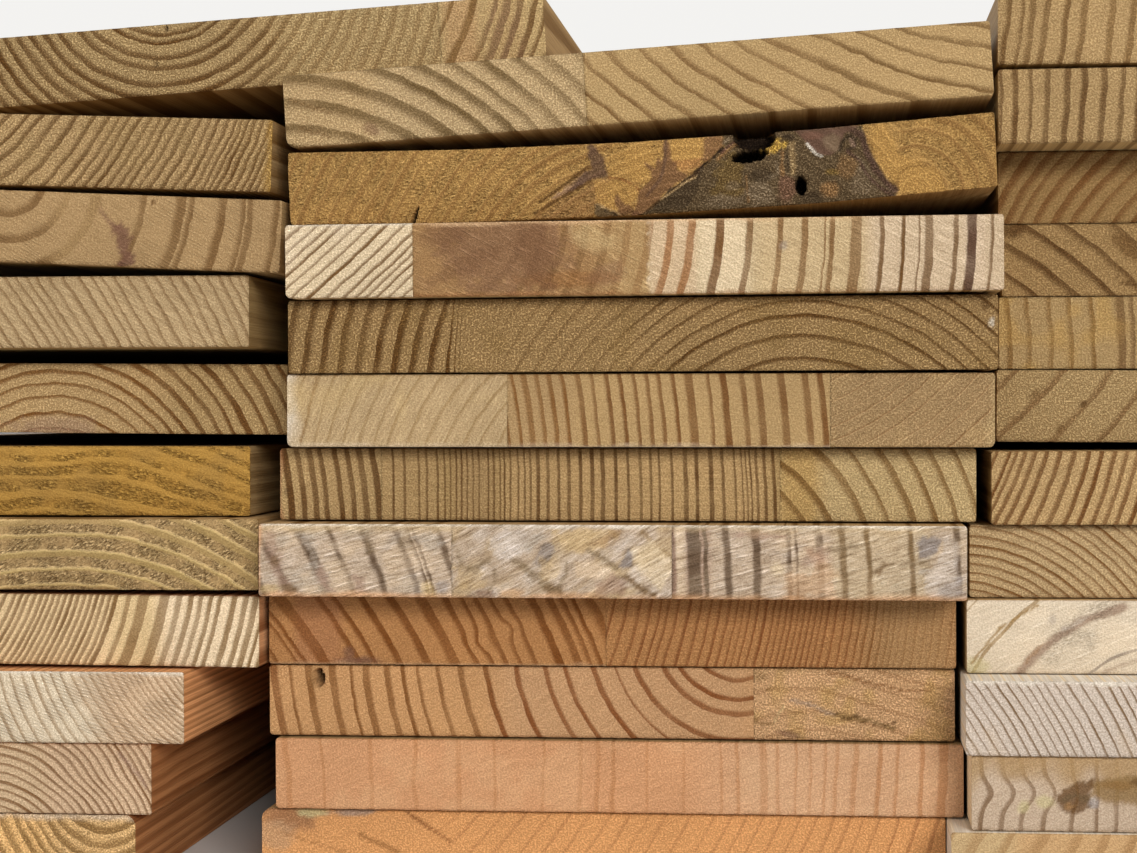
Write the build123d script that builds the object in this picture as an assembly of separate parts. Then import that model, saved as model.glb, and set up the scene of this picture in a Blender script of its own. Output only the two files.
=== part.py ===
from build123d import *
import os
from math import atan2, cos, sin

# A stack of planed softwood boards in three columns, seen on its sawn ends.
# X runs across the stack, Y along the boards away from the viewer, Z is up.
# While it is built, x = 0 is the left edge line of the middle column, y = 0 the
# plane that most front ends lie near and z = 0 the level floor. The finished
# stack is then moved so that the origin lies under the middle of its outline.

# The stock: nominal one by eight boards, six feet long, planed on four sides
board_length = 1828.8
board_width = 184.15
board_thickness = 19.05
eased_edge = 0.7          # radius left by the planer on the long edges
glue_line = 0.1           # film of glue between two staves of one board

# How the boards lie on each other
seam = 0.55               # mean gap between two planed faces in the middle column
side_seam = 0.30          # the same in the two outer columns, which lie closer
column_gap = 1.5          # least clear space between two columns

# How the warped boards are shaped
cup_depth = 2.4           # hollow across the face of the cupped board
end_lift = 4.0            # rise of a bowed board's rear end over its middle
twist_lift = 9.1          # rise of the twisted board's left front corner
cupped_lift = 7.8         # rise of the cupped board's right front corner
top_lift = 4.2            # rise of the topmost middle board's right front corner
lower_bow_lift = (4.6, 3.2)    # front rise of the lower bowed board, at its two edges
upper_bow_lift = (3.0, 4.4)    # the same of the upper one

# How hollows are bored
overrun = 1.0             # start of the cutter in front of the sawn end


class Hollow:
    """A hole in a sawn end where bark, a knot or resin has fallen out."""

    def __init__(self, across, up, width, height, deep, lean=0.0):
        self.across = across          # middle, from the board's left edge
        self.up = up                  # middle, from the line of its lower corners
        self.width = width
        self.height = height
        self.deep = deep
        self.lean = lean              # turned anticlockwise, in degrees


bark_pocket = Hollow(121.4, 11.4, 8.4, 3.0, 14.0, lean=4.0)
bark_bite = Hollow(122.6, 16.6, 10.4, 7.0, 11.0)      # runs out through the upper face
knot_hole = Hollow(134.3, 3.0, 2.8, 4.6, 9.0, lean=6.0)
edge_split = Hollow(33.2, 0.2, 0.8, 5.6, 5.0, lean=-22.0)
resin_hole = Hollow(13.5, 15.7, 2.3, 5.2, 8.0, lean=8.0)


class Board:
    """One board: where its front end lies, how it rests and how it is made up."""

    def __init__(self, name, shift, stand, gap=None, rear_gap=None, glue=(), corner=None,
                 cup=0.0, bowed=False, hollows=()):
        self.name = name
        self.shift = shift            # sideways, from the line of its column
        self.stand = stand            # how far the front end stands out to the viewer
        self.gap = gap                # front gap to the board below, at its left and right edge
        self.rear_gap = rear_gap      # the same at the rear end
        self.glue = glue              # glue lines, from the board's left edge
        self.corner = corner or {}    # radii of corners that are more worn than the rest
        self.cup = cup                # hollow across the upper face
        self.bowed = bowed            # middle rests, ends are lifted
        self.hollows = hollows        # holes in the front end


# The three columns, each from the floor up. Left column: shift of the right edges.
left_column = [
    Board("left_board_11", -41.7, 12.0, corner={"top_right": 3.0}),
    Board("left_board_10", -37.2, 12.0),
    Board("left_board_09", -27.6, 14.0),
    Board("left_board_08", -9.0, 6.0, gap=(2.0, 0.6)),
    Board("left_board_07", -8.9, 7.0, gap=(0.4, 1.8)),
    Board("left_board_06", -13.7, -4.0, gap=(1.1, 0.4)),
    Board("left_board_05", -2.7, -2.0, gap=lower_bow_lift, bowed=True),
    Board("left_board_04", -9.5, 13.0, gap=upper_bow_lift, bowed=True),
    Board("left_board_03", 0.0, 17.0, gap=(twist_lift, 0.3)),
    Board("left_board_02", -2.8, 15.0, gap=(0.3, 2.3)),
]

# Middle column: shift of the left edges.
middle_column = [
    Board("middle_board_11", -11.9, -2.0, corner={"top_left": 2.6}),
    Board("middle_board_10", -7.3, 0.7),
    Board("middle_board_09", -9.4, -1.7, glue=(131.3,), hollows=(resin_hole,)),
    Board("middle_board_08", -9.1, 0.0, gap=(0.5, 0.4), glue=(91.7,)),
    Board("middle_board_07", -7.3, 18.9, gap=(0.8, 0.3), glue=(51.3, 108.8)),
    Board("middle_board_06", -4.2, 6.9, glue=(27.5, 133.4)),
    Board("middle_board_05", 0.0, 16.4, gap=(0.6, 0.5), glue=(58.5, 142.3),
          corner={"bottom_left": 1.5, "bottom_right": 1.5}),
    Board("middle_board_04", 0.8, 18.1, gap=(0.3, 0.9)),
    Board("middle_board_03", 1.8, 25.1, gap=(0.3, 0.8), glue=(33.5,),
          corner={"bottom_left": 1.5}),
    Board("middle_board_02", 1.1, 15.8, gap=(0.8, cupped_lift), cup=cup_depth,
          rear_gap=(cup_depth + seam, cup_depth + seam),
          hollows=(bark_pocket, bark_bite, knot_hole, edge_split)),
    Board("middle_board_01", 0.4, 16.5, gap=(1.1, top_lift), glue=(79.6,),
          corner={"bottom_left": 2.6}),
]

# Right column: shift of the left edges.
right_column = [
    Board("right_board_12", -13.1, 20.0),
    Board("right_board_11", -7.8, 18.0),
    Board("right_board_10", -9.3, 20.0),
    Board("right_board_09", -8.1, 5.0),
    Board("right_board_08", -7.0, 0.0),
    Board("right_board_07", -1.6, 5.0),
    Board("right_board_06", 0.7, -8.0, gap=(2.4, 0.9)),
    Board("right_board_05", 1.4, -8.0, gap=(0.2, 1.2)),
    Board("right_board_04", 2.3, -8.0, gap=(0.2, 0.4)),
    Board("right_board_03", 1.3, -8.0, gap=(0.2, 0.3)),
    Board("right_board_02", 0.0, 11.0, gap=(0.2, 0.3)),
    Board("right_board_01", 0.0, 10.0, gap=(1.4, 0.4)),
]

# The topmost board lies across the left and the middle column.
crossing_board = Board("left_board_01", 67.8, -1.0, glue=(155.6,))
crossing_clearance = 0.3

stave_names = {1: [""], 2: ["_left_stave", "_right_stave"],
               3: ["_left_stave", "_centre_stave", "_right_stave"]}


class Station:
    """A cross-section's place: its lower left corner, its roll and its y."""

    def __init__(self, left, right_height, y):
        self.x, self.z = left
        self.y = y
        self.roll = atan2(right_height - self.z, board_width)

    def plane(self):
        across = (cos(self.roll), 0, sin(self.roll))
        return Plane(origin=(self.x, self.y, self.z), x_dir=across, z_dir=(0, -1, 0))

    def top(self, x):
        """Height of the board's upper face, without its cup, over the place x."""
        slope = sin(self.roll) / cos(self.roll)
        top_left_x = self.x - board_thickness * sin(self.roll)
        top_left_z = self.z + board_thickness * cos(self.roll)
        return top_left_z + (x - top_left_x) * slope

    def top_left_corner(self):
        return (self.x - board_thickness * sin(self.roll),
                self.z + board_thickness * cos(self.roll))


def rest_on(below, left_x, gaps, y):
    """The station of a board whose two edges lie at these gaps over the one below."""
    right_x = left_x + board_width
    floor_left = below.top(left_x) if below else 0.0
    floor_right = below.top(right_x) if below else 0.0
    return Station((left_x, floor_left + gaps[0]), floor_right + gaps[1], y)


def place_column(boards, line_x, usual_seam):
    """Stations of a whole column, worked out from the floor up."""
    placed = []
    below = {"front": None, "middle": None, "rear": None}
    for board in boards:
        front_y = -board.stand
        usual = (usual_seam, usual_seam) if below["front"] else (0.0, 0.0)
        left_x = line_x + board.shift
        rear_gap = board.rear_gap or usual
        stations = {
            "front": rest_on(below["front"], left_x, board.gap or usual, front_y),
            "middle": rest_on(below["middle"], left_x, rear_gap, front_y + board_length / 2),
            "rear": rest_on(below["rear"], left_x, rear_gap, front_y + board_length),
        }
        if board.bowed:
            lifted = (usual_seam + end_lift, usual_seam + end_lift)
            stations["rear"] = rest_on(below["rear"], left_x, lifted, front_y + board_length)
        else:
            stations["middle"] = halfway(stations["front"], stations["rear"])
        placed.append((board, stations))
        below = stations
    return placed


def halfway(front, rear):
    """The station midway along a board that runs straight from end to end."""
    x = (front.x + rear.x) / 2
    z = (front.z + rear.z) / 2
    right = (front.z + board_width * sin(front.roll) + rear.z + board_width * sin(rear.roll)) / 2
    return Station((x, z), right, (front.y + rear.y) / 2)


def place_crossing(board, left_top, middle_top):
    """Stations of the board that leans from the left column on to the middle one."""
    left_x = board.shift - board_width
    stations = {}
    for end in ("front", "rear"):
        corner_x, corner_z = middle_top[end].top_left_corner()
        start_z = left_top[end].top(left_x) + crossing_clearance
        slope = (corner_z + crossing_clearance - start_z) / (corner_x - left_x)
        y = -board.stand + (board_length if end == "rear" else 0.0)
        stations[end] = Station((left_x, start_z), start_z + slope * board_width, y)
    return stations


def outline(board, start, end):
    """The cross-section of a board, or of the stave between two glue lines."""
    dip = board.cup
    middle = board_width / 2
    if dip:
        edges = [
            ThreePointArc((0, 0), (middle, -dip), (board_width, 0)),
            Line((board_width, 0), (board_width, board_thickness)),
            ThreePointArc((board_width, board_thickness), (middle, board_thickness - dip),
                          (0, board_thickness)),
            Line((0, board_thickness), (0, 0)),
        ]
        shape = make_face(edges)
    else:
        shape = make_face(Polyline((start, 0), (end, 0), (end, board_thickness),
                                   (start, board_thickness), close=True))
    corners = {"bottom_left": (0, 0), "bottom_right": (board_width, 0),
               "top_left": (0, board_thickness), "top_right": (board_width, board_thickness)}
    for name, place in corners.items():
        if start <= place[0] <= end:
            radius = board.corner.get(name, eased_edge)
            vertex = shape.vertices().sort_by_distance((place[0], place[1], 0))[0]
            shape = fillet(vertex, radius)
    return shape


def bore(hollow, station):
    """What a hollow takes out of a front end."""
    opening = Pos(hollow.across, hollow.up) * Rot(0, 0, hollow.lean)
    opening = opening * Ellipse(hollow.width / 2, hollow.height / 2)
    in_front = station.plane().offset(overrun)
    return extrude(in_front * opening, amount=-(hollow.deep + overrun))


def stave(board, stations, start, end):
    """One sawn piece, run through the stations of its board."""
    shape = outline(board, start, end)
    names = ["front", "middle", "rear"] if board.bowed else ["front", "rear"]
    sections = [stations[name].plane() * shape for name in names]
    piece = loft(sections, ruled=True)
    for hollow in board.hollows:
        if start < hollow.across < end:
            piece = piece - bore(hollow, stations["front"])
    return piece


def saw(board, stations):
    """All the pieces of one board, each under its own name."""
    starts = [0.0] + [line + glue_line / 2 for line in board.glue]
    ends = [line - glue_line / 2 for line in board.glue] + [board_width]
    pieces = {}
    for name, start, end in zip(stave_names[len(starts)], starts, ends):
        pieces[board.name + name] = stave(board, stations, start, end)
    return pieces


def build_stack():
    left = place_column(left_column, -column_gap - board_width, side_seam)
    middle = place_column(middle_column, 0.0, seam)
    right = place_column(right_column, board_width + column_gap, side_seam)
    crossing = place_crossing(crossing_board, left[-1][1], middle[-1][1])
    pieces = {}
    for board, stations in left + middle + right + [(crossing_board, crossing)]:
        pieces.update(saw(board, stations))
    return pieces


def stand_on_origin(pieces):
    """Moves the stack so that the origin is under the middle of its outline."""
    boxes = [piece.bounding_box() for piece in pieces.values()]
    low_x, high_x = min(box.min.X for box in boxes), max(box.max.X for box in boxes)
    low_y, high_y = min(box.min.Y for box in boxes), max(box.max.Y for box in boxes)
    floor = min(box.min.Z for box in boxes)
    shift = Pos(-(low_x + high_x) / 2, -(low_y + high_y) / 2, -floor)
    return {name: shift * piece for name, piece in pieces.items()}


os.makedirs("parts", exist_ok=True)
for node, solid in stand_on_origin(build_stack()).items():
    export_step(solid, "parts/" + node + ".step")
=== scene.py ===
import math

import bpy
import numpy as np
from mathutils import Matrix, Vector

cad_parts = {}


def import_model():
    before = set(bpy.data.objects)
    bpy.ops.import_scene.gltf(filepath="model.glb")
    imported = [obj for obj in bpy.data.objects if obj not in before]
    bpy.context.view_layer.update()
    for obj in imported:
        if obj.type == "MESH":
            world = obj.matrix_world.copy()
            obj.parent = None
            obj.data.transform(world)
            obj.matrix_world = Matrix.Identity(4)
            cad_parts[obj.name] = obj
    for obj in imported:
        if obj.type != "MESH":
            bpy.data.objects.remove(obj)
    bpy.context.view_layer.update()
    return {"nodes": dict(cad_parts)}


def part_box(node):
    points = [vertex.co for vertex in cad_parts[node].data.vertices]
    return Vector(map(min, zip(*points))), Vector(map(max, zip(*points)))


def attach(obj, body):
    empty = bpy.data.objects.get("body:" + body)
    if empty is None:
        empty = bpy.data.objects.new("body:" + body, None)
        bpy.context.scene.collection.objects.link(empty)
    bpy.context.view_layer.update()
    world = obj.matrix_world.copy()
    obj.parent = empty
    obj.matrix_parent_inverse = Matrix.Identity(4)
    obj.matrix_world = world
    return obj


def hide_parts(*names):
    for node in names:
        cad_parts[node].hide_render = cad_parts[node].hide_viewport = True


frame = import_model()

MM = 0.001

# The boards, in millimetres
board_width = 184.15
board_thickness = 19.05
glue_half = 0.045               # how far each stave reaches into a glue line

# How a section is found again in the frame
same_plane = 0.02               # points this near to an end's plane belong to its section
midway_plane = 0.05             # the same for the middle section of a bowed board
section_points = 20             # a section has more points than this
least_chord = 20.0              # shorter lines between its points don't tell its slope

# How fine the pieces' meshes are
rear_cell = 2.4                 # the sawn ends at the rear
corner_span = 3.2               # columns so near to a corner follow its rounding
least_column = 0.06             # narrower columns are left out
loop_depths = [0.9, 3.0, 7.0, 14.0, 28.0, 50.0, 80.0, 120.0, 170.0, 240.0, 330.0, 450.0, 600.0,
               770.0, 914.4, 1100.0, 1300.0, 1500.0, 1700.0, 1800.0, 1825.0]

# Tones of the wood, as they look by day
TONES = {
    "snow": (226, 216, 200), "cream": (234, 212, 176), "ivory": (228, 208, 180), "blush": (224, 200, 172),
    "peach": (216, 178, 136), "salmon": (212, 160, 116), "apricot": (222, 160, 108),
    "straw": (200, 174, 126), "wheat": (192, 164, 116), "sand": (184, 152, 106), "tan": (172, 142, 98),
    "khaki": (164, 136, 90), "honey": (190, 152, 88), "ochre": (174, 134, 66), "amber": (178, 136, 74),
    "fawn": (188, 150, 106), "rose": (184, 146, 110), "copper": (172, 118, 74),
    "terracotta": (160, 110, 76), "olive": (142, 112, 64), "moss": (122, 96, 50), "drab": (132, 104, 64),
    "hazel": (128, 94, 50), "chestnut": (136, 90, 48), "rust": (128, 78, 42), "walnut": (110, 78, 42),
    "umber": (96, 66, 34), "plum": (112, 78, 62), "mauve": (150, 120, 102), "slate": (140, 128, 120),
    "steel": (160, 154, 152), "lichen": (186, 174, 128), "bark": (98, 80, 56), "pitch": (40, 28, 18),
    "coffee": (72, 50, 30), "nut": (150, 112, 70), "heart": (116, 82, 56), "dusk": (92, 68, 54),
    "peat": (66, 52, 36), "stone": (132, 112, 86), "clay": (124, 90, 68), "tow": (196, 156, 70),
    "gilt": (168, 127, 60), "reed": (152, 128, 80), "bistre": (98, 66, 30), "dun": (164, 134, 94),
    "oat": (178, 152, 114), "russet": (120, 80, 38), "pearl": (213, 196, 170), "shell": (204, 174, 142),
    "sepia": (110, 72, 36), "corn": (190, 162, 120), "loam": (100, 76, 40), "milk": (216, 194, 160),
    "buff": (187, 165, 129), "sedge": (140, 112, 72), "burnt": (90, 58, 26), "cedar": (172, 124, 78),
    "tawny": (118, 70, 30), "coral": (199, 148, 107), "moor": (146, 116, 74), "iron": (124, 110, 98),
    "fallow": (116, 90, 60), "frost": (198, 183, 169), "sunset": (213, 155, 100), "linen": (200, 176, 148),
    "bone": (182, 161, 139), "parch": (219, 191, 148), "smoke": (100, 80, 62), "ash": (176, 162, 146),
    "butter": (244, 196, 132), "dune": (175, 146, 101), "mustard": (177, 138, 81), "heath": (165, 133, 88),
    "fox": (190, 145, 99), "melon": (207, 164, 120), "chalk": (205, 189, 166), "band": (152, 128, 108),
}


def linear(name):
    """A tone as the linear colour that a shader takes."""
    c = np.array(TONES[name]) / 255.0
    return np.where(c <= 0.04045, c / 12.92, ((c + 0.055) / 1.055) ** 2.4)


# Noise on a lattice, the same on every run
def lattice(ix, iy, seed):
    """A value from 0 to 1 for each pair of whole numbers; the large factors only mix their bits."""
    h = ix.astype(np.int64) * 374761393 + iy.astype(np.int64) * 668265263 + seed * 144269504
    h = (h ^ (h >> 13)) & 0xFFFFFFFF
    h = (h * 1274126177) & 0xFFFFFFFF
    return ((h ^ (h >> 16)) & 0xFFFF) / 65535.0


def noise(x, y, seed):
    """Smooth noise from 0 to 1, with features about one unit wide."""
    ix, iy = np.floor(x), np.floor(y)
    fx, fy = x - ix, y - iy
    fx, fy = fx * fx * (3 - 2 * fx), fy * fy * (3 - 2 * fy)
    low = lattice(ix, iy, seed) * (1 - fx) + lattice(ix + 1, iy, seed) * fx
    high = lattice(ix, iy + 1, seed) * (1 - fx) + lattice(ix + 1, iy + 1, seed) * fx
    return low * (1 - fy) + high * fy


def step(low, high, x):
    """From 0 at low to 1 at high, smoothly; low may be the larger one."""
    t = np.clip((x - low) / (high - low), 0, 1)
    return t * t * (3 - 2 * t)


# The shape of a board, read from the frame
def section_axes(points):
    """Origin, direction across and direction up of a section, from its outline's points."""
    a = points[:, None, :]
    b = points[None, :, :]
    run, rise = (b - a)[..., 0], (b - a)[..., 1]
    angles = np.unique(np.round(np.arctan2(rise, run)[run > least_chord], 7))
    heights = [np.ptp(-math.sin(t) * points[:, 0] + math.cos(t) * points[:, 1]) for t in angles]
    t = angles[int(np.argmin(heights))]
    across, up = np.array([math.cos(t), math.sin(t)]), np.array([-math.sin(t), math.cos(t)])
    origin = across * (points @ across).min() + up * (points @ up).min()
    return origin, across, up


class Board:
    """Where a board's sections lie: its axes at the front, the rear and, if bowed, midway."""

    def __init__(self, names):
        verts = np.vstack([node_points(name) for name in names])
        low, high = verts[:, 1].min(), verts[:, 1].max()
        places = [low, high]
        middle = verts[np.abs(verts[:, 1] - (low + high) / 2) < midway_plane]
        if len(middle) > section_points:
            places.insert(1, middle[0, 1])
        self.places = places
        self.axes = []
        for y in places:
            at = verts[np.abs(verts[:, 1] - y) < same_plane][:, [0, 2]]
            self.axes.append(section_axes(np.unique(np.round(at, 4), axis=0)))

    def point(self, u, v, depth):
        """Places in space of points u across and v up the section, depth behind the front."""
        y = self.places[0] + depth
        k = np.clip(np.searchsorted(self.places, y, side="right") - 1, 0, len(self.places) - 2)
        starts = np.array(self.places)[k]
        ends = np.array(self.places)[k + 1]
        s = ((y - starts) / (ends - starts))[:, None]
        origins = np.array([axes[0] for axes in self.axes])
        across = np.array([axes[1] for axes in self.axes])
        up = np.array([axes[2] for axes in self.axes])
        near = origins[k] + u[:, None] * across[k] + v[:, None] * up[k]
        far = origins[k + 1] + u[:, None] * across[k + 1] + v[:, None] * up[k + 1]
        flat = near * (1 - s) + far * s
        return np.column_stack([flat[:, 0], y, flat[:, 1]])


def node_points(name):
    """The points of a node of the frame, in millimetres."""
    mesh = frame["nodes"][name].data
    co = np.zeros(len(mesh.vertices) * 3)
    mesh.vertices.foreach_get("co", co)
    return co.reshape(-1, 3) / MM


def chains(board, name):
    """The lower and the upper edge of a piece's section, as heights over u."""
    verts = node_points(name)
    at = verts[np.abs(verts[:, 1] - verts[:, 1].max()) < same_plane][:, [0, 2]]
    origin, across, up = board.axes[-1]
    u, v = (at - origin) @ across, (at - origin) @ up
    u, v = np.round(u, 2), np.round(v, 3)
    low = {}
    high = {}
    for a, b in zip(u, v):
        low[a] = min(low.get(a, b), b)
        high[a] = max(high.get(a, b), b)
    keys = np.array(sorted(low))
    middle = board_thickness / 2
    lows = [(k, low[k]) for k in keys if low[k] < middle]
    highs = [(k, high[k]) for k in keys if high[k] > middle]
    return np.array(lows), np.array(highs)


class Outline:
    """A piece's section: its span across the board and its lower and upper edges."""

    def __init__(self, board, name):
        self.low, self.high = chains(board, name)
        self.start, self.end = self.low[:, 0].min(), self.low[:, 0].max()
        self.glued_left = self.start > 1.0
        self.glued_right = self.end < board_width - 1.0

    def columns(self, cell):
        """Places across the piece: those of its rounded corners, and even steps between."""
        marks = np.unique(np.concatenate([self.low[:, 0], self.high[:, 0]]))
        near_left = [m for m in marks if m < self.start + corner_span]
        near_right = [m for m in marks if m > self.end - corner_span]
        first, last = near_left[-1], near_right[0]
        count = max(2, int(round((last - first) / cell)))
        inner = np.linspace(first, last, count + 1)[1:-1]
        keep = []
        for m in list(near_left) + list(inner) + list(near_right):
            if not keep or m - keep[-1] > least_column:
                keep.append(m)
        keep[0], keep[-1] = self.start, self.end
        return np.array(keep)

    def height(self, u, t):
        """The height at u of the share t of the way from the lower to the upper edge."""
        low = np.interp(u, self.low[:, 0], self.low[:, 1])
        high = np.interp(u, self.high[:, 0], self.high[:, 1])
        return low + t * (high - low)


def grid(outline, cell):
    """u and v of a grid over a section, and its index array by column and row."""
    us = outline.columns(cell)
    rows = max(3, int(round(board_thickness / cell)))
    ts = np.linspace(0, 1, rows + 1)
    u, t = np.meshgrid(us, ts, indexing="ij")
    u, t = u.ravel(), t.ravel()
    index = np.arange(len(u)).reshape(len(us), rows + 1)
    return u, outline.height(u, t), index


def rim(index):
    """The grid's outer points, anticlockwise as the viewer in front sees them."""
    return np.concatenate([index[:-1, 0], index[-1, :-1], index[:0:-1, -1], index[0, :0:-1]])


def zip_loops(a, b, reach_a, reach_b):
    """Triangles between two loops of different counts; reach is the way round, from 0 to 1."""
    faces = []
    i = j = 0
    while i < len(a) or j < len(b):
        next_a = reach_a[i + 1] if i < len(a) else 2.0
        next_b = reach_b[j + 1] if j < len(b) else 2.0
        if next_a <= next_b:
            faces.append((a[i % len(a)], b[j % len(b)], a[(i + 1) % len(a)]))
            i += 1
        else:
            faces.append((a[i % len(a)], b[j % len(b)], b[(j + 1) % len(b)]))
            j += 1
    return np.array(faces)


def reach(u, v):
    """The way round a loop to each of its points and back, from 0 to 1."""
    steps = np.hypot(np.diff(np.append(u, u[0])), np.diff(np.append(v, v[0])))
    return np.concatenate([[0.0], np.cumsum(steps)]) / steps.sum()


# What each piece of wood looks like
class Wood:
    """One sawn piece: its tones, where its rings are centred and how it was sawn."""

    def __init__(self, slot, early, late, pith, ring=(4.0, 4.0), lines=(), radii=(), share=0.2, soft=1.4,
                 crisp=0.3, contrast=0.8, grain=0.5, torn=0.0, ridge=0.0, saw=(30, 0.4), scrape=0.0,
                 teeth=0.0, wave=0.6, wander=0.6, rough=0.10, face=("sand", "hazel"), cell=0.7, marks=()):
        self.slot = slot            # material slot of the record, not used
        self.early = early          # tone of the soft pale wood of each ring
        self.late = late            # and of its dark line
        self.pith = pith            # centre of the rings, from the board's lower left corner
        self.ring = ring            # ring spacing nearest and farthest, or at places across the board
        self.lines = lines          # dark lines, each its place across the board and its width
        self.radii = radii          # or each its distance from the pith and its width
        self.share = share          # part of a ring that is dark latewood
        self.soft = soft            # millimetres over which a ring darkens
        self.crisp = crisp          # millimetres over which its dark line ends
        self.contrast = contrast    # how strongly the dark lines show
        self.grain = grain          # speckle of the cut fibres
        self.torn = torn            # fibres torn out between the latewood bands
        # ridge: the pale line is a painted highlight on the edge of the raised latewood
        self.ridge = ridge          # a thin pale line where each ring ends
        self.saw = saw              # direction of the saw marks in degrees, and their strength
        self.scrape = scrape        # thin pale scratches along that direction
        self.teeth = teeth          # even tooth marks along that direction
        self.wave = wave            # how far the rings wander over the board, in millimetres
        self.wander = wander        # how unsteady each dark line is
        self.rough = rough          # depth of the sawn end's relief, in millimetres
        self.face = face            # tones of the faces and edges along the board
        self.cell = cell            # mesh of the sawn end at the front, in millimetres
        self.marks = marks          # stains, knots, cracks and whatever else is its own


def leaning(u, v, lean, radius, side=1):
    """A pith so placed that the rings at (u, v) rise to the right at lean degrees."""
    t = math.radians(lean)
    return (u - side * radius * math.sin(t), v + side * radius * math.cos(t))


# How the growth rings and the finish vary over a board, in millimetres
drift_run = 180.0               # run over which the rings shift by a millimetre or so
drift_across, drift_down = 0.9, 1.3
wave_patches = (26, 22), (21, 17)     # patches over which the rings wander sideways, and up or down
contrast_patch, shade_patch, teeth_patch = 6, 18, 4.5
saw_bend, bend_patch = 1.2, 40  # how far the saw marks are bent
marks_fade, marks_end = 12.0, 30.0    # depths between which the front end's marks fade out
tone_depth = 0.8                # the sawn ends' tones reach so far along the faces

# How rings are counted
first_count = 10.0              # of the first named dark line
rings_beyond = 9                # rings on either side of the named ones
least_share, most_share = 0.04, 0.75
spacing_margin = 60.0           # spacing goes on unchanged so far beyond its named places
spacing_steps = 900
spacing_patch = 5.0             # length over which the spacing varies
shift_all = 40.0                # keeps all counts above zero


class Fields:
    """What the material reads at each point of one piece."""

    def __init__(self, wood, outline, u, v, depth, seed):
        self.u, self.v, self.depth, self.seed = u, v, depth, seed
        self.front = step(marks_end, marks_fade, depth)
        self.sink = np.zeros_like(u)
        self.set_rings(wood, outline)
        self.set_finish(wood)
        for mark in wood.marks:
            mark(self)
        on_face = step(0.0, tone_depth, depth)[:, None]
        self.early = self.early * (1 - on_face) + linear(wood.face[0]) * on_face
        self.late = self.late * (1 - on_face) + linear(wood.face[1]) * on_face

    def patches(self, size, layer):
        """Uneven patches from 0 to 1, about so large; each layer has its own."""
        return noise(self.u / size, self.v / size, self.seed + layer)

    def set_rings(self, wood, outline):
        """Counts the rings from the pith outwards; they wander over the board and drift along it."""
        drift = self.depth / drift_run
        (u_wide, u_high), (v_wide, v_high) = wave_patches
        wave_u = noise(self.u / u_wide, self.v / u_high + 5, self.seed) - 0.5
        wave_v = noise(self.u / v_wide + 9, self.v / v_high, self.seed + 1) - 0.5
        u = self.u + wood.wave * 2 * wave_u + drift_across * drift
        v = self.v + wood.wave * 2 * wave_v - drift_down * drift
        self.r = np.hypot(u - wood.pith[0], v - wood.pith[1])
        if wood.lines or wood.radii:
            ring = self.from_lines(wood)
        else:
            ring = self.from_spacing(wood, outline)
        self.ring = ring + shift_all

    def set_finish(self, wood):
        one = np.ones_like(self.u)
        self.early = one[:, None] * linear(wood.early)
        self.late = one[:, None] * linear(wood.late)
        for name in ("contrast", "soft", "crisp", "wander", "grain", "torn", "ridge", "scrape", "teeth"):
            setattr(self, name, one * getattr(wood, name))
        self.contrast = self.contrast * (0.88 + 0.34 * self.patches(contrast_patch, 8))
        self.shade = 0.94 + 0.12 * self.patches(shade_patch, 9)
        self.teeth = self.teeth * step(0.25, 0.6, self.patches(teeth_patch, 10))
        t = math.radians(wood.saw[0])
        bend = saw_bend * self.patches(bend_patch, 7)
        self.saw = -math.sin(t) * self.u + math.cos(t) * self.v + bend
        self.saw_along = math.cos(t) * self.u + math.sin(t) * self.v
        self.saw_amount = one * wood.saw[1]

    def from_lines(self, wood):
        """Ring count where each dark line has its own place and width."""
        places, widths = np.array(wood.lines or wood.radii).T
        r = np.hypot(places - wood.pith[0], board_thickness / 2 - wood.pith[1]) if wood.lines else places
        order = np.argsort(r)
        r, widths = r[order] + widths[order] / 2, widths[order]
        gaps = np.diff(r)
        usual = gaps.mean()
        inner = max(0.0, r[0] - rings_beyond * usual)
        numbers = first_count + np.arange(len(widths))
        count = np.concatenate([[first_count - (r[0] - inner) / usual], numbers,
                                [numbers[-1] + rings_beyond]])
        ring = np.interp(self.r, np.concatenate([[inner], r, [r[-1] + rings_beyond * usual]]), count)
        near = np.concatenate([[usual], gaps])
        shares = np.clip(widths / near, least_share, most_share)
        self.share = np.interp(np.ceil(ring), numbers, shares)
        self.spacing = np.interp(np.ceil(ring), numbers, near)
        return ring

    def from_spacing(self, wood, outline):
        """Ring count from the spacing at some places across the board."""
        if isinstance(wood.ring[0], tuple):
            places, spacing = np.array(wood.ring).T
            at = np.hypot(places - wood.pith[0], board_thickness / 2 - wood.pith[1])
        else:
            near_u = np.clip(wood.pith[0], outline.start, outline.end)
            near_v = np.clip(wood.pith[1], 0.0, board_thickness)
            far = [np.hypot(a - wood.pith[0], b - wood.pith[1])
                   for a in (outline.start, outline.end) for b in (0.0, board_thickness)]
            at = np.array([np.hypot(near_u - wood.pith[0], near_v - wood.pith[1]), max(far)])
            spacing = np.array(wood.ring)
        order = np.argsort(at)
        at, spacing = at[order], spacing[order]
        fine = np.linspace(max(at[0] - spacing_margin, 0.0), at[-1] + spacing_margin, spacing_steps)
        local = np.interp(fine, at, spacing)
        local = local * (0.62 + 0.76 * noise(fine / spacing_patch, fine * 0 + 2.5, self.seed + 3))
        count = np.concatenate([[0.0], np.cumsum(np.diff(fine) / ((local[1:] + local[:-1]) / 2))])
        self.spacing = np.interp(self.r, fine, local)
        ring = np.interp(self.r, fine, count)
        uneven = lattice(np.ceil(ring), np.ceil(ring) * 0, self.seed + 5)
        self.share = wood.share * (0.6 + 0.8 * uneven)
        return ring


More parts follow.
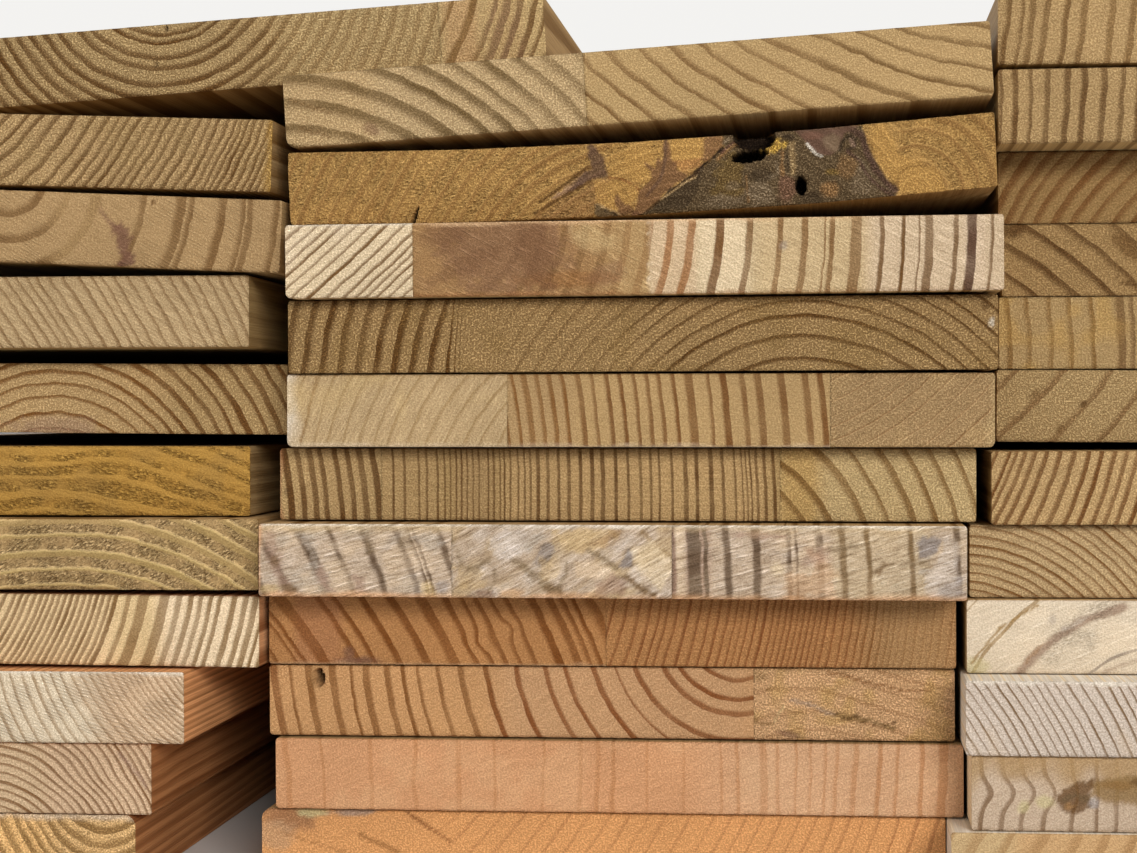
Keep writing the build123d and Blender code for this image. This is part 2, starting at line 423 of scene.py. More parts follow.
# Marks on single pieces
def turned(f, u, v, lean):
    """Coordinates of the piece's points about (u, v), turned by lean degrees."""
    t = math.radians(lean)
    du, dv = f.u - u, f.v - v
    return du * math.cos(t) + dv * math.sin(t), -du * math.sin(t) + dv * math.cos(t)


def along(f, start, end):
    """A line's length, and the places of the piece's points along it and beside it."""
    run = np.hypot(end[0] - start[0], end[1] - start[1])
    lean = math.degrees(math.atan2(end[1] - start[1], end[0] - start[0]))
    return (run,) + turned(f, start[0], start[1], lean)


def tint(f, amount, tone, late_too=1.0):
    """Turns the piece's colours towards a tone, by an amount for each point."""
    amount = (np.clip(amount, 0, 1) * f.front)[:, None]
    colour = linear(tone)
    f.early = f.early * (1 - amount) + colour * amount
    f.late = f.late * (1 - amount * late_too) + colour * amount * late_too


def stain(u, v, wide, high, tone, amount=0.8, lean=0.0, ragged=0.5):
    """A patch of colour about (u, v), of that half width and half height."""
    def mark(f):
        a, b = turned(f, u, v, lean)
        away = np.hypot(a / wide, b / high)
        away = away + ragged * (f.patches(2.2, 21) - 0.5)
        away = away + 0.6 * ragged * (f.patches(0.9, 22) - 0.5)
        tint(f, amount * step(1.35, 0.65, away), tone, 0.9)
    return mark


def streak(start, end, width, tone, amount=0.8, ragged=0.6):
    """A line of colour from start to end."""
    def mark(f):
        run, a, b = along(f, start, end)
        b = b + ragged * (f.patches(1.6, 23) - 0.5)
        beyond = np.maximum(np.maximum(-a, a - run), 0.0)
        tint(f, amount * step(width, width * 0.35, np.hypot(b, beyond)), tone)
    return mark


def rim_tone(where, width, tone, amount=0.6):
    """A changed colour along one edge of the piece; along some top edges it is a painted highlight."""
    def mark(f):
        away = {"top": board_thickness - f.v, "bottom": f.v, "left": f.u - f.u.min(),
                "right": f.u.max() - f.u}[where]
        away = away + width * 0.9 * (f.patches(5, 24) - 0.5)
        tint(f, amount * step(width, 0.0, away), tone)
    return mark


def across(start, end, early, late=None, fade=3.0, amount=1.0, fade_out=None):
    """Other tones from start to end across the board."""
    def mark(f):
        out = fade_out or fade
        share = amount * step(start - fade, start + fade, f.u) * step(end + out, end - out, f.u) * f.front
        share = share[:, None]
        f.early = f.early * (1 - share) + linear(early) * share
        if late:
            f.late = f.late * (1 - share) + linear(late) * share
    return mark


def change(start, end, fade=2.0, **values):
    """Other amounts, such as speckle or contrast, from start to end across the board."""
    def mark(f):
        share = step(start - fade, start + fade, f.u) * step(end + fade, end - fade, f.u)
        for name, value in values.items():
            setattr(f, name, getattr(f, name) * (1 - share) + value * share)
    return mark


def hollow(u, v, width, height, deep, lean=0.0):
    """A hollow in the sawn end, of that full width and height, painted near black inside as painted shade.
    """
    def mark(f):
        a, b = turned(f, u, v, lean)
        away = np.hypot(a / (width / 2), b / (height / 2))
        away = away + 0.3 * (f.patches(0.9, 25) - 0.5)
        f.sink = np.maximum(f.sink, deep * step(1.12, 0.88, away))
        # Painted shade: the inside of the hollow is turned near black
        tint(f, step(1.25, 0.9, away), "pitch")
    return mark


def dots(start, end, count, size, tone):
    """Small spots strewn along a line."""
    def mark(f):
        for k in range(count):
            s = (k + 0.5) / count
            du, dv = 1.2 * math.sin(7.1 * k + 1.0), 0.9 * math.sin(11.3 * k)
            u = start[0] + s * (end[0] - start[0]) + du
            v = start[1] + s * (end[1] - start[1]) + dv
            stain(u, v, size * (0.6 + 0.5 * math.sin(5.3 * k) ** 2), size * 0.6, tone, 0.8, 25)(f)
    return mark


def rough_patch(u, v, wide, high, amount, lean=0.0):
    """A patch where fibres are torn out."""
    def mark(f):
        a, b = turned(f, u, v, lean)
        f.torn = f.torn + amount * step(1.2, 0.5, np.hypot(a / wide, b / high))
    return mark


def way_off(f, points, closed):
    """Distance of the piece's points from a line; inside a closed line it is negative."""
    away = np.full_like(f.u, 1e9)
    inside = np.zeros(len(f.u), bool)
    ends = points[1:] + points[:1] if closed else points[1:]
    for (a, b), (c, d) in zip(points, ends):
        s = np.clip(((f.u - a) * (c - a) + (f.v - b) * (d - b)) / ((c - a) ** 2 + (d - b) ** 2), 0, 1)
        away = np.minimum(away, np.hypot(f.u - a - s * (c - a), f.v - b - s * (d - b)))
        if closed and b != d:
            inside ^= ((b > f.v) != (d > f.v)) & (f.u < (c - a) * (f.v - b) / (d - b) + a)
    return np.where(inside, -away, away)


def area(points, tone, amount=0.85, edge=0.5, ragged=1.0, **values):
    """A patch of colour within a closed line, with other amounts, such as speckle, if named."""
    def mark(f):
        away = way_off(f, points, True) + ragged * (f.patches(1.6, 41) - 0.5)
        away = away + 0.7 * ragged * (f.patches(0.7, 42) - 0.5)
        share = step(edge, -edge, away)
        tint(f, amount * share, tone)
        for name, value in values.items():
            setattr(f, name, getattr(f, name) * (1 - share) + value * share)
    return mark


def path(points, width, tone, amount=0.85, ragged=0.5):
    """A line of colour through points; width is half of its own."""
    def mark(f):
        away = way_off(f, points, False) + ragged * (f.patches(1.3, 43) - 0.5)
        tint(f, amount * step(width * 1.3, width * 0.4, away), tone)
    return mark


# The knot lies this much lower on the board than the photo's view of it suggests
knot_drop = 1.0


def at(*points):
    """Points about the knot, moved down to where it lies."""
    return [(u, v - knot_drop) for u, v in points]


def spot(u, v, *rest):
    """A stain about the knot, moved down alike."""
    return stain(u, v - knot_drop, *rest)


def wild_grain():
    """The grain that swings up on the knot's left side."""
    return (area(at((64, 1), (70, 5), (76, 8), (80, 10.5), (85, 10.9), (84, 6), (81, 4), (80, 1)), "nut",
                 0.6),
            area(at((68, 6), (74, 10), (79, 13), (79, 10), (73, 7)), "mauve", 0.5),
            area(at((85, 11), (90, 10.3), (96, 9), (98, 13), (100, 20), (86, 20), (84, 15)), "amber",
                 0.45, contrast=0.1),
            area(at((89, 17), (96, 20), (96, 12), (92, 9), (89, 12)), "amber", 0.4, torn=0.0),
            area(at((81, 10.5), (90, 10.0), (92.5, 7.4), (90, 3), (85, 2), (81, 4.5)), "amber", 0.6,
                 torn=0.1, contrast=0.1),
            area(at((79.0, 20), (81.5, 20), (83.5, 16), (84.8, 11.3), (80, 10.8), (76, 8.3), (72, 7.2),
                    (75.5, 9.8), (79.8, 13.5), (80, 16)), "dusk", 0.85, torn=0.2),
            path(at((79.5, 14.3), (76, 12), (73.5, 10.2), (70.2, 8.2), (66.5, 5.8)), 0.5, "umber"),
            path(at((80, 10.5), (73.7, 7.4), (69.2, 5.2), (65, 3)), 0.4, "umber"),
            path(at((84.8, 11.2), (88.5, 10.4), (91, 9.0), (92.5, 7.4)), 0.35, "chestnut"),
            path(at((86.5, 11.0), (88.5, 8.0), (89.4, 6.0)), 0.3, "hazel", 0.6))


def tongues():
    """Golden and dark tongues that rise beside the bark."""
    return (area(at((101, 12.5), (104, 11.8), (109.5, 15.5), (110, 20.5), (101, 20.5)), "amber", 0.7,
                 torn=0.0, contrast=0.1),
            area(at((101.5, 14.5), (104, 11.8), (109, 13), (109, 15)), "copper", 0.5),
            area(at((99.8, 20.5), (99.0, 17), (98.6, 14.5), (97.8, 15.6), (97, 13), (94.0, 14.6),
                    (95.5, 12), (95.5, 9.5), (93, 7.5), (91.5, 4), (90, 1), (93, 1), (96.5, 3.5),
                    (100, 7), (104.8, 10), (105, 10.8), (103, 11.8), (101.5, 14.5), (101, 17),
                    (100.6, 20.5)), "heart", 0.85, 0.4, 0.7, torn=0.0, contrast=0.1),
            path(at((99.9, 20), (99.6, 15), (98.2, 10), (94.5, 6)), 0.55, "dusk", 0.6),
            area(at((86.3, 6.8), (88.5, 4.8), (90.5, 3.0), (93, 1), (87.3, 1), (86.3, 3)), "heart", 0.8,
                 0.4),
            area(at((109.6, 20.5), (114.8, 20.5), (114.6, 17.8), (112, 15.3), (108.5, 12.8), (109.8, 16)),
                 "heart", 0.75, 0.5, torn=0.0))


def bark_pocket():
    """The bark that the knot has grown round."""
    return (area(at((92.5, 1), (96, 3.0), (99.5, 6.5), (104.5, 9.8), (108.5, 12.0), (112.5, 15.0),
                    (114.9, 17.0), (114.8, 21), (150.5, 21), (151.5, 17), (152.8, 13), (155.5, 8),
                    (158.5, 3.5), (158.5, 1)), "bark", 0.97, 0.3, 0.4, torn=0.15, contrast=0.05,
                 grain=1.3),
            area(at((94, 1.5), (99, 5.5), (106, 10), (109, 12), (108, 7), (104, 2)), "peat", 0.6),
            area(at((110, 5), (114, 14), (118, 17), (119.5, 11), (119, 4)), "moss", 0.6, 1.0, 2.0),
            spot(115, 3.5, 5.5, 1.4, "stone", 0.6), spot(123.5, 5.0, 3.5, 3.0, "stone", 0.8),
            spot(117, 7, 1.8, 1.2, "stone", 0.5), spot(127, 9, 2.0, 0.8, "stone", 0.7, 30),
            spot(130.6, 6.0, 2.4, 3.4, "clay", 0.85), spot(124, 9.5, 3.2, 1.6, "peat", 0.6),
            spot(141.8, 4.8, 2.4, 2.2, "nut", 0.8), spot(142.2, 9.4, 1.9, 0.8, "moss", 0.9, -10),
            spot(146.5, 10.5, 2.4, 3.4, "nut", 0.5), spot(137, 3.2, 3.2, 1.5, "peat", 0.6),
            area(at((147, 4), (149, 12), (151.5, 8), (155, 3)), "stone", 0.55),
            path(at((120.3, 9.5), (120.6, 3)), 0.3, "nut", 0.6),
            path(at((113.2, 14.5), (116, 16.6), (118.4, 18.4)), 0.6, "nut", 0.8),
            path(at((114.2, 16.0), (117.5, 18.6)), 0.5, "plum", 0.8),
            path(at((114.7, 18.2), (116.3, 19.4), (118.8, 19.6), (119.6, 17.4)), 0.4, "stone", 0.8),
            path(at((132.2, 17.4), (132.4, 14), (132.2, 10)), 0.9, "tan", 0.7, 0.9),
            path(at((129.8, 15), (129.6, 9.5)), 0.5, "nut", 0.7, 0.9),
            path(at((131.0, 14), (131.4, 10)), 0.4, "peat", 0.8),
            path(at((128.0, 13), (128.6, 10)), 0.4, "stone", 0.6),
            spot(131.5, 18.8, 1.6, 1.4, "peat", 0.8))


def torn_tuft():
    """Torn golden fibres at the bark's upper edge."""
    return (spot(125.6, 16.0, 1.6, 1.0, "tow", 0.9), spot(128.2, 17.0, 3.0, 1.8, "tow", 0.95, 0, 1.1),
            path(at((126.4, 14.8), (127.0, 17.5)), 0.3, "amber", 0.6),
            path(at((128.6, 15.4), (128.4, 18)), 0.3, "amber", 0.6))


def round_grain():
    """The grain that curls round on the knot's right side."""
    return (area(at((132.8, 21), (135, 18.5), (136.5, 16.0), (138, 14.6), (139.8, 13.7), (142.5, 14.0),
                    (144.5, 15.2), (145.3, 17), (146, 19), (150, 21)), "dusk", 0.95, 0.3, 0.4, grain=0.4),
            spot(142.8, 16.8, 2.2, 2.2, "stone", 0.45), spot(137.5, 19, 2.5, 1.0, "plum", 0.5),
            path(at((144.6, 14.8), (145.2, 17), (147.2, 18.6), (148.9, 17.4), (148.6, 15.6),
                    (146.4, 14.8)), 0.4, "peat"),
            path(at((147.6, 17.0), (148.2, 15.8)), 0.7, "mauve", 0.5),
            path(at((146.5, 14.5), (149.5, 12), (151, 8.5), (154, 5), (157.4, 2.6)), 0.45, "dusk", 0.9),
            path(at((148.5, 13.8), (151.0, 10.6), (153.4, 7.0), (157.5, 3.6)), 0.3, "stone", 0.7),
            path(at((147, 20.4), (150.2, 18.4), (151.6, 14), (153.2, 9.8), (155.4, 6.6), (158.2, 4)), 1.0,
                 "dusk", 0.95),
            # Painted highlight: a near-white line on the lit lip of a crack at the knot eye's lower rim
            path(at((136.2, 17.0), (137.2, 15.8), (138.4, 14.3), (139.9, 13.6)), 0.32, "snow", 0.95, 0.2))


def groove():
    """The open groove along the bark's lower left edge, drawn as dark lines of painted shade, with no
    hollow in the mesh.
    """
    # Painted shade: dark and near-black lines where the groove lies
    return (path(at((94, 1.8), (98.5, 5.2), (104.5, 9.3), (107.5, 11.0), (109.5, 13.2), (112.3, 15.2),
                    (114.7, 17.2)), 0.32, "coffee", 0.9, 0.3),
            path(at((107.0, 11.4), (110.6, 13.8)), 0.45, "pitch", 0.9),
            path(at((112.2, 15.0), (114.6, 17.3)), 0.45, "pitch"),
            path(at((98, 4.7), (104.8, 9.0), (107.3, 10.1)), 0.3, "sand", 0.8, 0.2),
            area(at((80.5, 1), (80.8, 4.4), (83.5, 3.4), (86, 1)), "bark", 0.9, 0.3),
            path(at((81.5, 4.6), (83.5, 3.2), (85.5, 2.5), (87.2, 1.4)), 0.3, "sand", 0.7, 0.2),
            path(at((83.5, 2.6), (85.5, 2.0), (87.2, 0.8)), 0.4, "pitch"))


def grain_beyond():
    """The grain on the far side of the knot."""
    return (area(at((152, 21), (153, 14), (155.5, 9), (159, 4), (163, 2), (172, 2), (170, 8), (160, 13),
                    (156, 21)), "amber", 0.6, 0.8, 1.5, torn=0.05, contrast=0.25),
            own_rings(158, 190, (163.5, 2.0), 4.2, 3.0),
            path(at((158.6, 5.0), (159.4, 8.0), (162, 9.8), (166, 9.8)), 0.3, "hazel", 0.6))


def hollows():
    """The hollows that the solid has too."""
    return (hollow(121.4, 13.8, 8.4, 3.0, 14.0, 4.0), hollow(122.6, 19.0, 10.4, 7.0, 11.0),
            hollow(134.3, 5.4, 2.8, 4.6, 9.0, 6.0), hollow(33.2, 2.6, 0.8, 5.6, 5.0, -22.0))


def knot_marks():
    """The knot, the bark pocket and the wild grain about them."""
    return (*grain_beyond(), *wild_grain(), *tongues(), *bark_pocket(), *torn_tuft(), *round_grain(),
            *groove(), *hollows())


def crack(start, end, width, deep=2.5):
    """A narrow check in the sawn end, sunk a little and painted dark inside as painted shade."""
    def mark(f):
        run, a, b = along(f, start, end)
        away = np.abs(b) + np.maximum(np.maximum(-a, a - run), 0.0) * 2
        inside = step(width, width * 0.3, away)
        f.sink = f.sink + deep * inside * (f.depth < 0.01)
        # Painted shade inside the check
        tint(f, 0.9 * inside, "coffee")
    return mark


def bend_rings(u, v, reach_u, reach_v, amount):
    """Rings that swing aside by amount rings about (u, v)."""
    def mark(f):
        off = ((f.u - u) / reach_u) ** 2 + ((f.v - v) / reach_v) ** 2
        f.ring = f.ring + amount * np.exp(-off) * f.front
    return mark


def own_rings(start, end, pith, spacing, fade=2.5):
    """Rings about another centre from start to end across the board."""
    def mark(f):
        share = step(start - fade, start + fade, f.u) * step(end + fade, end - fade, f.u) * f.front
        r = np.hypot(f.u - pith[0], f.v - pith[1])
        f.ring = f.ring * (1 - share) + (60.0 + r / spacing) * share
        f.contrast = f.contrast * (1 - step(0.0, 0.25, share * (1 - share)))
        f.spacing = f.spacing * (1 - share) + spacing * share
    return mark


def mottle(size, tone, amount, seed=0, stretch=1.0, lean=0.0, floor=0.5):
    """Soft cloudy patches of another colour."""
    def mark(f):
        a, b = turned(f, 0.0, 0.0, lean)
        cloud = 0.65 * noise(a / (size * stretch), b / size, f.seed + 31 + seed)
        cloud = cloud + 0.35 * noise(a / (size * stretch) * 2.3, b / size * 2.3, f.seed + 32 + seed)
        tint(f, amount * step(floor, floor + 0.25, cloud), tone, 0.6)
    return mark


WOOD = {
    # Left column, from the top
    "left_board_01_left_stave": Wood(
        "pine_tan", "dune", "bistre", (80.5, 38.0),
        radii=((21.9, 0.7), (24.2, 0.5), (28.5, 1.0), (31.5, 1.0), (36.3, 1.1), (40.0, 1.0), (43.2, 0.9),
               (46.4, 1.1), (49.8, 0.9), (53.2, 1.0), (56.5, 0.8), (60.0, 1.1), (63.6, 0.9), (67.0, 1.0),
               (70.6, 0.9), (74.2, 1.0), (78.0, 0.9)),
        soft=1.5, contrast=0.8, grain=0.9, torn=0.25, saw=(8, 0.2),
        marks=(change(112, 160, 8, contrast=0.45, torn=0.5), across(112, 158, "wheat", "hazel", 8, 0.8),
               crack((80.0, 13.6), (80.6, 18.6), 0.22), crack((76.8, 4.8), (77.0, 9.0), 0.18),
               stain(33, 9, 1.6, 1.0, "walnut", 0.5, -30))),
    "left_board_01_right_stave": Wood(
        "pine_tan", "wheat", "walnut", (92, 40),
        lines=((156.0, 0.6), (162.3, 1.6), (168.7, 1.0), (172.1, 1.8), (175.9, 1.2), (180.1, 1.2),
               (183.3, 0.6)),
        soft=1.2, contrast=0.75, grain=0.7, torn=0.35, saw=(0, 0.3),
        marks=(across(168, 178, "sand", "plum", amount=0.6), across(157, 166, "fawn", "hazel", 2, 0.7))),
    "left_board_02": Wood(
        "pine_tan", "sand", "bistre", (76, 51.6), [(110, 3.7), (148, 3.2), (165, 2.2), (184, 1.8)],
        share=0.2, soft=1.4, contrast=0.75, grain=0.85, torn=0.35, saw=(55, 0.2), rough=0.14,
        face=("tan", "hazel"),
        marks=(rim_tone("right", 2.5, "ochre", 0.8), mottle(9, "khaki", 0.3))),
    "left_board_03": Wood(
        "pine_tan", "dun", "bistre", (109.3, 21.8),
        radii=((16.7, 1.3), (24.9, 1.8), (38.5, 0.9), (49.0, 1.8), (51.6, 0.4), (59.9, 1.4), (65.6, 0.4),
               (67.2, 1.1), (74.4, 0.7), (80.0, 0.8)),
        soft=2.0, contrast=0.62, grain=0.45, saw=(-27, 0.5), teeth=1.0, face=("tan", "hazel"),
        marks=(streak((134.9, 14.8), (138.6, 10.5), 0.7, "plum", 0.85),
               path(((134.6, 15.2), (136.4, 13.0), (139.6, 10.2)), 0.5, "plum"),
               area(((139.0, 11.4), (142.8, 10.6), (143.6, 8), (143.0, 5), (144.6, 2.6), (145.2, 0),
                     (140.8, 0), (140.8, 3), (139.9, 6), (137.8, 8.6)), "plum", 0.85, 0.6, 1.6),
               stain(133.8, 16.8, 1.5, 2.0, "umber", 0.65, -70),
               stain(149.3, 17.2, 0.7, 0.8, "umber", 0.9), change(122, 140, 4, teeth=0.1),
               across(122, 137, "dun", "tan", 4, 0.6))),
    "left_board_04": Wood(
        "pine_tan", "oat", "walnut", leaning(125, 9.5, -57, 200, -1), (3.3, 2.8),
        share=0.14, soft=1.2, contrast=0.6, grain=0.45, saw=(-30, 0.7), teeth=0.7, scrape=0.3,
        face=("khaki", "drab"),
        marks=(mottle(14, "khaki", 0.3),)),
    "left_board_05": Wood(
        "pine_golden", "sand", "russet", (118.9, -24.2),
        radii=((26.0, 0.4), (30.0, 0.6), (34.4, 0.5), (38.0, 0.5), (41.2, 0.8), (44.7, 0.8), (48.7, 1.3),
               (52.8, 1.0), (56.4, 0.7), (60.2, 1.4), (64.8, 0.9), (68.7, 1.3), (72.4, 0.9), (76.0, 0.9)),
        soft=0.9, crisp=0.25, contrast=0.85, grain=0.7, wave=0.3, face=("tan", "hazel"),
        marks=(stain(119, 1.0, 12, 3.4, "mauve", 0.5), across(150, 190, "khaki", "umber", 8, 0.5))),
    "left_board_06": Wood(
        "pine_golden", "gilt", "ochre", (126, -150), (4.8, 4.2),
        share=0.4, soft=0.8, contrast=0.65, grain=0.3, torn=1.3, wave=2.6, saw=(-12, 0.5), rough=0.2,
        face=("dune", "drab"),
        marks=(mottle(9, "olive", 0.3),)),
    "left_board_07": Wood(
        "pine_golden", "tan", "reed", (128, -72), (5.2, 5.2),
        share=0.34, soft=0.5, crisp=0.6, contrast=0.75, grain=0.3, torn=1.7, ridge=1.0, wave=1.0,
        saw=(30, 0.4), rough=0.2,
        marks=(stain(128, 0.5, 17, 3.4, "drab", 0.35), mottle(12, "khaki", 0.4),
               rim_tone("top", 2.5, "sand", 0.4))),
    "left_board_08": Wood(
        "pine_cream", "parch", "walnut", (62, 39),
        lines=((112.5, 0.7), (114.5, 0.7), (116.3, 0.7), (118.4, 0.7), (120.4, 0.8), (122.1, 0.6),
               (123.9, 0.7), (125.7, 0.7), (127.5, 0.7), (129.3, 0.7), (131.1, 0.8), (133.0, 0.7),
               (134.9, 0.8), (136.7, 0.7), (138.5, 0.8), (140.5, 0.7), (142.2, 0.9), (146.1, 1.0),
               (150.3, 2.6), (156.3, 2.4), (160.4, 1.3), (163.7, 1.2), (166.4, 1.0), (169.1, 0.9),
               (171.5, 0.8), (175.4, 1.3), (178.6, 1.2), (181.3, 1.4), (183.7, 0.6)),
        soft=0.9, crisp=0.25, contrast=0.72, grain=0.4, torn=0.2, wave=0.4, wander=0.25,
        face=("salmon", "rust"),
        marks=(across(144, 157, "straw", "hazel", 3, 0.45), across(157, 186, "ivory", "drab", 4, 0.6))),
    "left_board_09": Wood(
        "pine_cream", "pearl", "hazel", (214, 43), [(135, 3.0), (155, 2.7), (166, 1.9), (184, 1.35)],
        share=0.16, soft=1.0, crisp=0.25, contrast=0.55, grain=0.45, saw=(-20, 0.4), teeth=1.8,
        wander=0.25, face=("apricot", "chestnut"),
        marks=(across(161, 186, "shell", "russet", 5, 0.8), mottle(16, "shell", 0.4),
               # Painted highlight: a near-white line along the lit top edge
               rim_tone("top", 0.9, "snow", 0.8))),
    "left_board_10": Wood(
        "pine_cream", "shell", "sepia", (138.5, -15.5), (2.3, 1.5),
        share=0.22, soft=0.8, crisp=0.25, contrast=0.72, grain=0.5, wave=0.4, wander=0.2, saw=(35, 0.3),
        face=("copper", "rust"),
        marks=(across(120, 155, "buff", "russet", amount=0.35),
               streak((175.6, 16.5), (183.0, 7.5), 0.7, "mauve", 0.7), bend_rings(168, 9.5, 16, 5, 0.8))),
    "left_board_11": Wood(
        "pine_golden", "butter", "hazel", (174.5, 27), (3.0, 4.2),
        share=0.28, soft=1.4, contrast=0.75, grain=0.8, torn=0.6, wave=1.6, rough=0.2,
        face=("copper", "rust"),
        # The pale blush band along the top edge is a painted highlight where the edge catches the light
        marks=(across(160, 186, "corn", "hazel", amount=0.35), rim_tone("top", 2.0, "blush", 0.7))),
    # Middle column, from the top
    "middle_board_01_left_stave": Wood(
        "pine_tan", "corn", "loam", (-5, -55), (5.7, 5.7),
        share=0.2, soft=2.6, crisp=0.6, contrast=0.72, grain=0.75, torn=0.1, wander=0.6,
        marks=(stain(22.5, 3.4, 1.4, 2.2, "plum", 0.75, 60), across(0, 24, "sand", "loam", amount=0.4),
               streak((1.5, 12.5), (12.0, 8.5), 0.5, "walnut", 0.6),
               streak((4.0, 5.0), (12.0, 2.2), 0.5, "walnut", 0.5), change(64, 82, 6, contrast=0.5))),
    "middle_board_01_right_stave": Wood(
        "pine_tan", "dune", "walnut", (212, 138), (5.4, 5.3),
        share=0.12, soft=1.5, crisp=0.35, contrast=0.75, grain=0.5, saw=(20, 0.2), wave=1.3, wander=0.8,
        marks=(mottle(15, "sand", 0.35), across(140, 184, "sand", "loam", 12, 0.4))),
    "middle_board_02": Wood(
        "pine_golden", "mustard", "sepia", (103, -38), (3.6, 3.9),
        share=0.3, soft=0.9, crisp=0.5, contrast=0.45, grain=0.75, torn=1.0, ridge=0.35, wave=1.4,
        wander=0.6, saw=(5, 0.2), rough=0.2, cell=0.36,
        marks=knot_marks()),
    "middle_board_03_left_stave": Wood(
        "pine_cream", "milk", "walnut", leaning(16, 9.5, 42, 260), [(0, 2.9), (34, 2.3)],
        share=0.17, soft=0.9, crisp=0.25, contrast=0.8, grain=0.55, saw=(12, 0.3), teeth=0.6, scrape=0.25,
        wander=0.4,
        # Painted highlight: a near-white line along the lit top edge
        marks=(rim_tone("top", 0.8, "snow", 0.5), mottle(12, "ivory", 0.4))),
    "middle_board_03_right_stave": Wood(
        "pine_cream", "buff", "walnut", (42, 19),
        lines=((105.1, 1.7), (112.6, 2.0), (120.4, 1.6), (128.3, 1.35), (134.6, 1.5), (139.8, 0.25),
               (141.4, 0.95), (147.5, 2.5), (153.9, 0.95), (159.3, 0.8), (163.4, 0.25), (165.8, 1.8),
               (172.6, 1.1), (176.6, 2.2), (181.7, 0.55)),
        soft=0.7, crisp=0.3, contrast=0.8, grain=0.45, saw=(-28, 0.6), scrape=0.4, teeth=0.25, wave=0.6,
        wander=0.4,
        marks=(across(30, 94.6, "nut", "umber", 4, 0.9, 0.35),
               change(30, 96, 1.5, contrast=0.4, scrape=1.3),
               across(84, 94.6, "tan", "chestnut", 6, 0.7, 0.35), stain(58, 12, 16, 12, "clay", 0.6),
               stain(80, 14.5, 5.5, 3.5, "straw", 0.4, -25),
               path(((94.8, 0.5), (94.8, 18.5)), 0.25, "ivory", 0.5),
               stain(74, 4.0, 12, 2.2, "chestnut", 0.5), stain(66, 11, 4.5, 9, "heart", 0.6, 12),
               stain(42, 15, 6, 3.5, "heart", 0.55), stain(47, 8, 12, 2.2, "heart", 0.45, 25),
               stain(84, 5, 5, 3, "clay", 0.4, 20), across(95, 107, "shell", "copper", 0.5, 0.55),
               # The thin peach line along the top edge is a painted highlight on the lit arris
               across(107, 120, "milk", "sepia", 2, 0.8), rim_tone("top", 0.9, "peach", 0.75),
               rim_tone("bottom", 1.2, "copper", 0.4), across(122, 152, "corn", "russet", 3, 0.5),
               across(150, 190, "linen", "bistre", 3, 0.75),
               across(174, 179.5, "linen", "dusk", 0.6, 0.9), stain(129, 12, 0.9, 1.1, "slate", 0.5))),
    "middle_board_04": Wood(
        "pine_tan", "heath", "bistre", (135.4, -38), (4.6, 4.4),
        share=0.12, soft=0.9, crisp=0.25, contrast=0.8, grain=1.0, torn=0.2, wave=0.5, wander=0.5,
        marks=(own_rings(-10, 50, (112, -10), 4.75, 8), change(-10, 46, 10, share=0.24, soft=1.6),
               change(50, 92, 10, contrast=0.4), mottle(8, "olive", 0.3),
               stain(182.5, 12, 0.5, 1.4, "snow", 0.7), stain(181, 16, 1.2, 1.2, "umber", 0.7))),
    "middle_board_05_left_stave": Wood(
        "pine_tan", "oat", "sedge", (87, -15), (4.0, 4.2),
        share=0.1, soft=0.9, crisp=0.3, contrast=0.55, grain=0.4, torn=0.15, saw=(62, 0.5), scrape=0.3,
        wander=0.5,
        marks=(rim_tone("left", 4, "snow", 0.6), streak((3.5, 1.0), (8.0, 18.5), 0.5, "hazel", 0.6),
               mottle(14, "wheat", 0.5), rim_tone("bottom", 1.4, "ivory", 0.4))),
    "middle_board_05_centre_stave": Wood(
        "pine_tan", "tan", "sepia", (-60, -8),
        lines=((58.3, 0.5), (61.5, 0.5), (64.6, 1.2), (67.9, 0.7), (71.1, 0.9), (74.4, 0.6), (78.5, 1.1),
               (82.0, 0.5), (85.9, 0.8), (89.4, 0.7), (93.0, 0.6), (96.3, 0.7), (99.5, 0.7), (103.2, 0.6),
               (107.2, 1.8), (112.1, 0.5), (116.0, 1.4), (120.9, 1.0), (124.8, 1.4), (130.8, 1.5),
               (137.0, 1.4), (140.9, 1.2)),
        soft=1.0, crisp=0.25, contrast=0.8, grain=0.4, torn=0.1, saw=(0, 0.3), wave=0.3, wander=0.3,
        marks=(across(56, 76, "dun", "russet", amount=0.8), rim_tone("bottom", 1.0, "ivory", 0.4))),
    "middle_board_05_right_stave": Wood(
        "pine_reddish", "dun", "sepia", (114, 70.6), (4.1, 3.2),
        share=0.09, soft=0.5, crisp=0.3, contrast=0.5, grain=0.7, torn=0.25, ridge=0.7, wander=0.4,
        marks=(rim_tone("right", 3, "straw", 0.4), mottle(10, "sand", 0.5))),
    "middle_board_06_left_stave": Wood(
        "pine_tan", "dune", "burnt", (-90, -4),
        lines=((-1.0, 0.8), (2.8, 1.7), (6.3, 1.3), (9.6, 1.4), (12.4, 1.1), (16.5, 1.3), (19.8, 1.2),
               (23.1, 1.5)),
        soft=0.7, crisp=0.3, contrast=0.85, grain=0.6, torn=0.15, wave=0.2, wander=0.3,
        marks=(stain(1.9, 7.6, 0.9, 0.9, "coffee", 0.8), across(1, 22, "sand", "walnut", 4, 0.5),
               rim_tone("left", 1.0, "terracotta", 0.6))),
    "middle_board_06_centre_stave": Wood(
        "pine_tan", "khaki", "burnt", (-160, 4),
        lines=((27.0, 0.5), (31.1, 0.5), (34.1, 0.6), (38.0, 0.5), (40.1, 0.5), (43.0, 0.5), (44.9, 0.4),
               (46.4, 0.3), (48.0, 0.35), (49.4, 0.35), (50.9, 0.3), (52.5, 0.3), (54.0, 0.3),
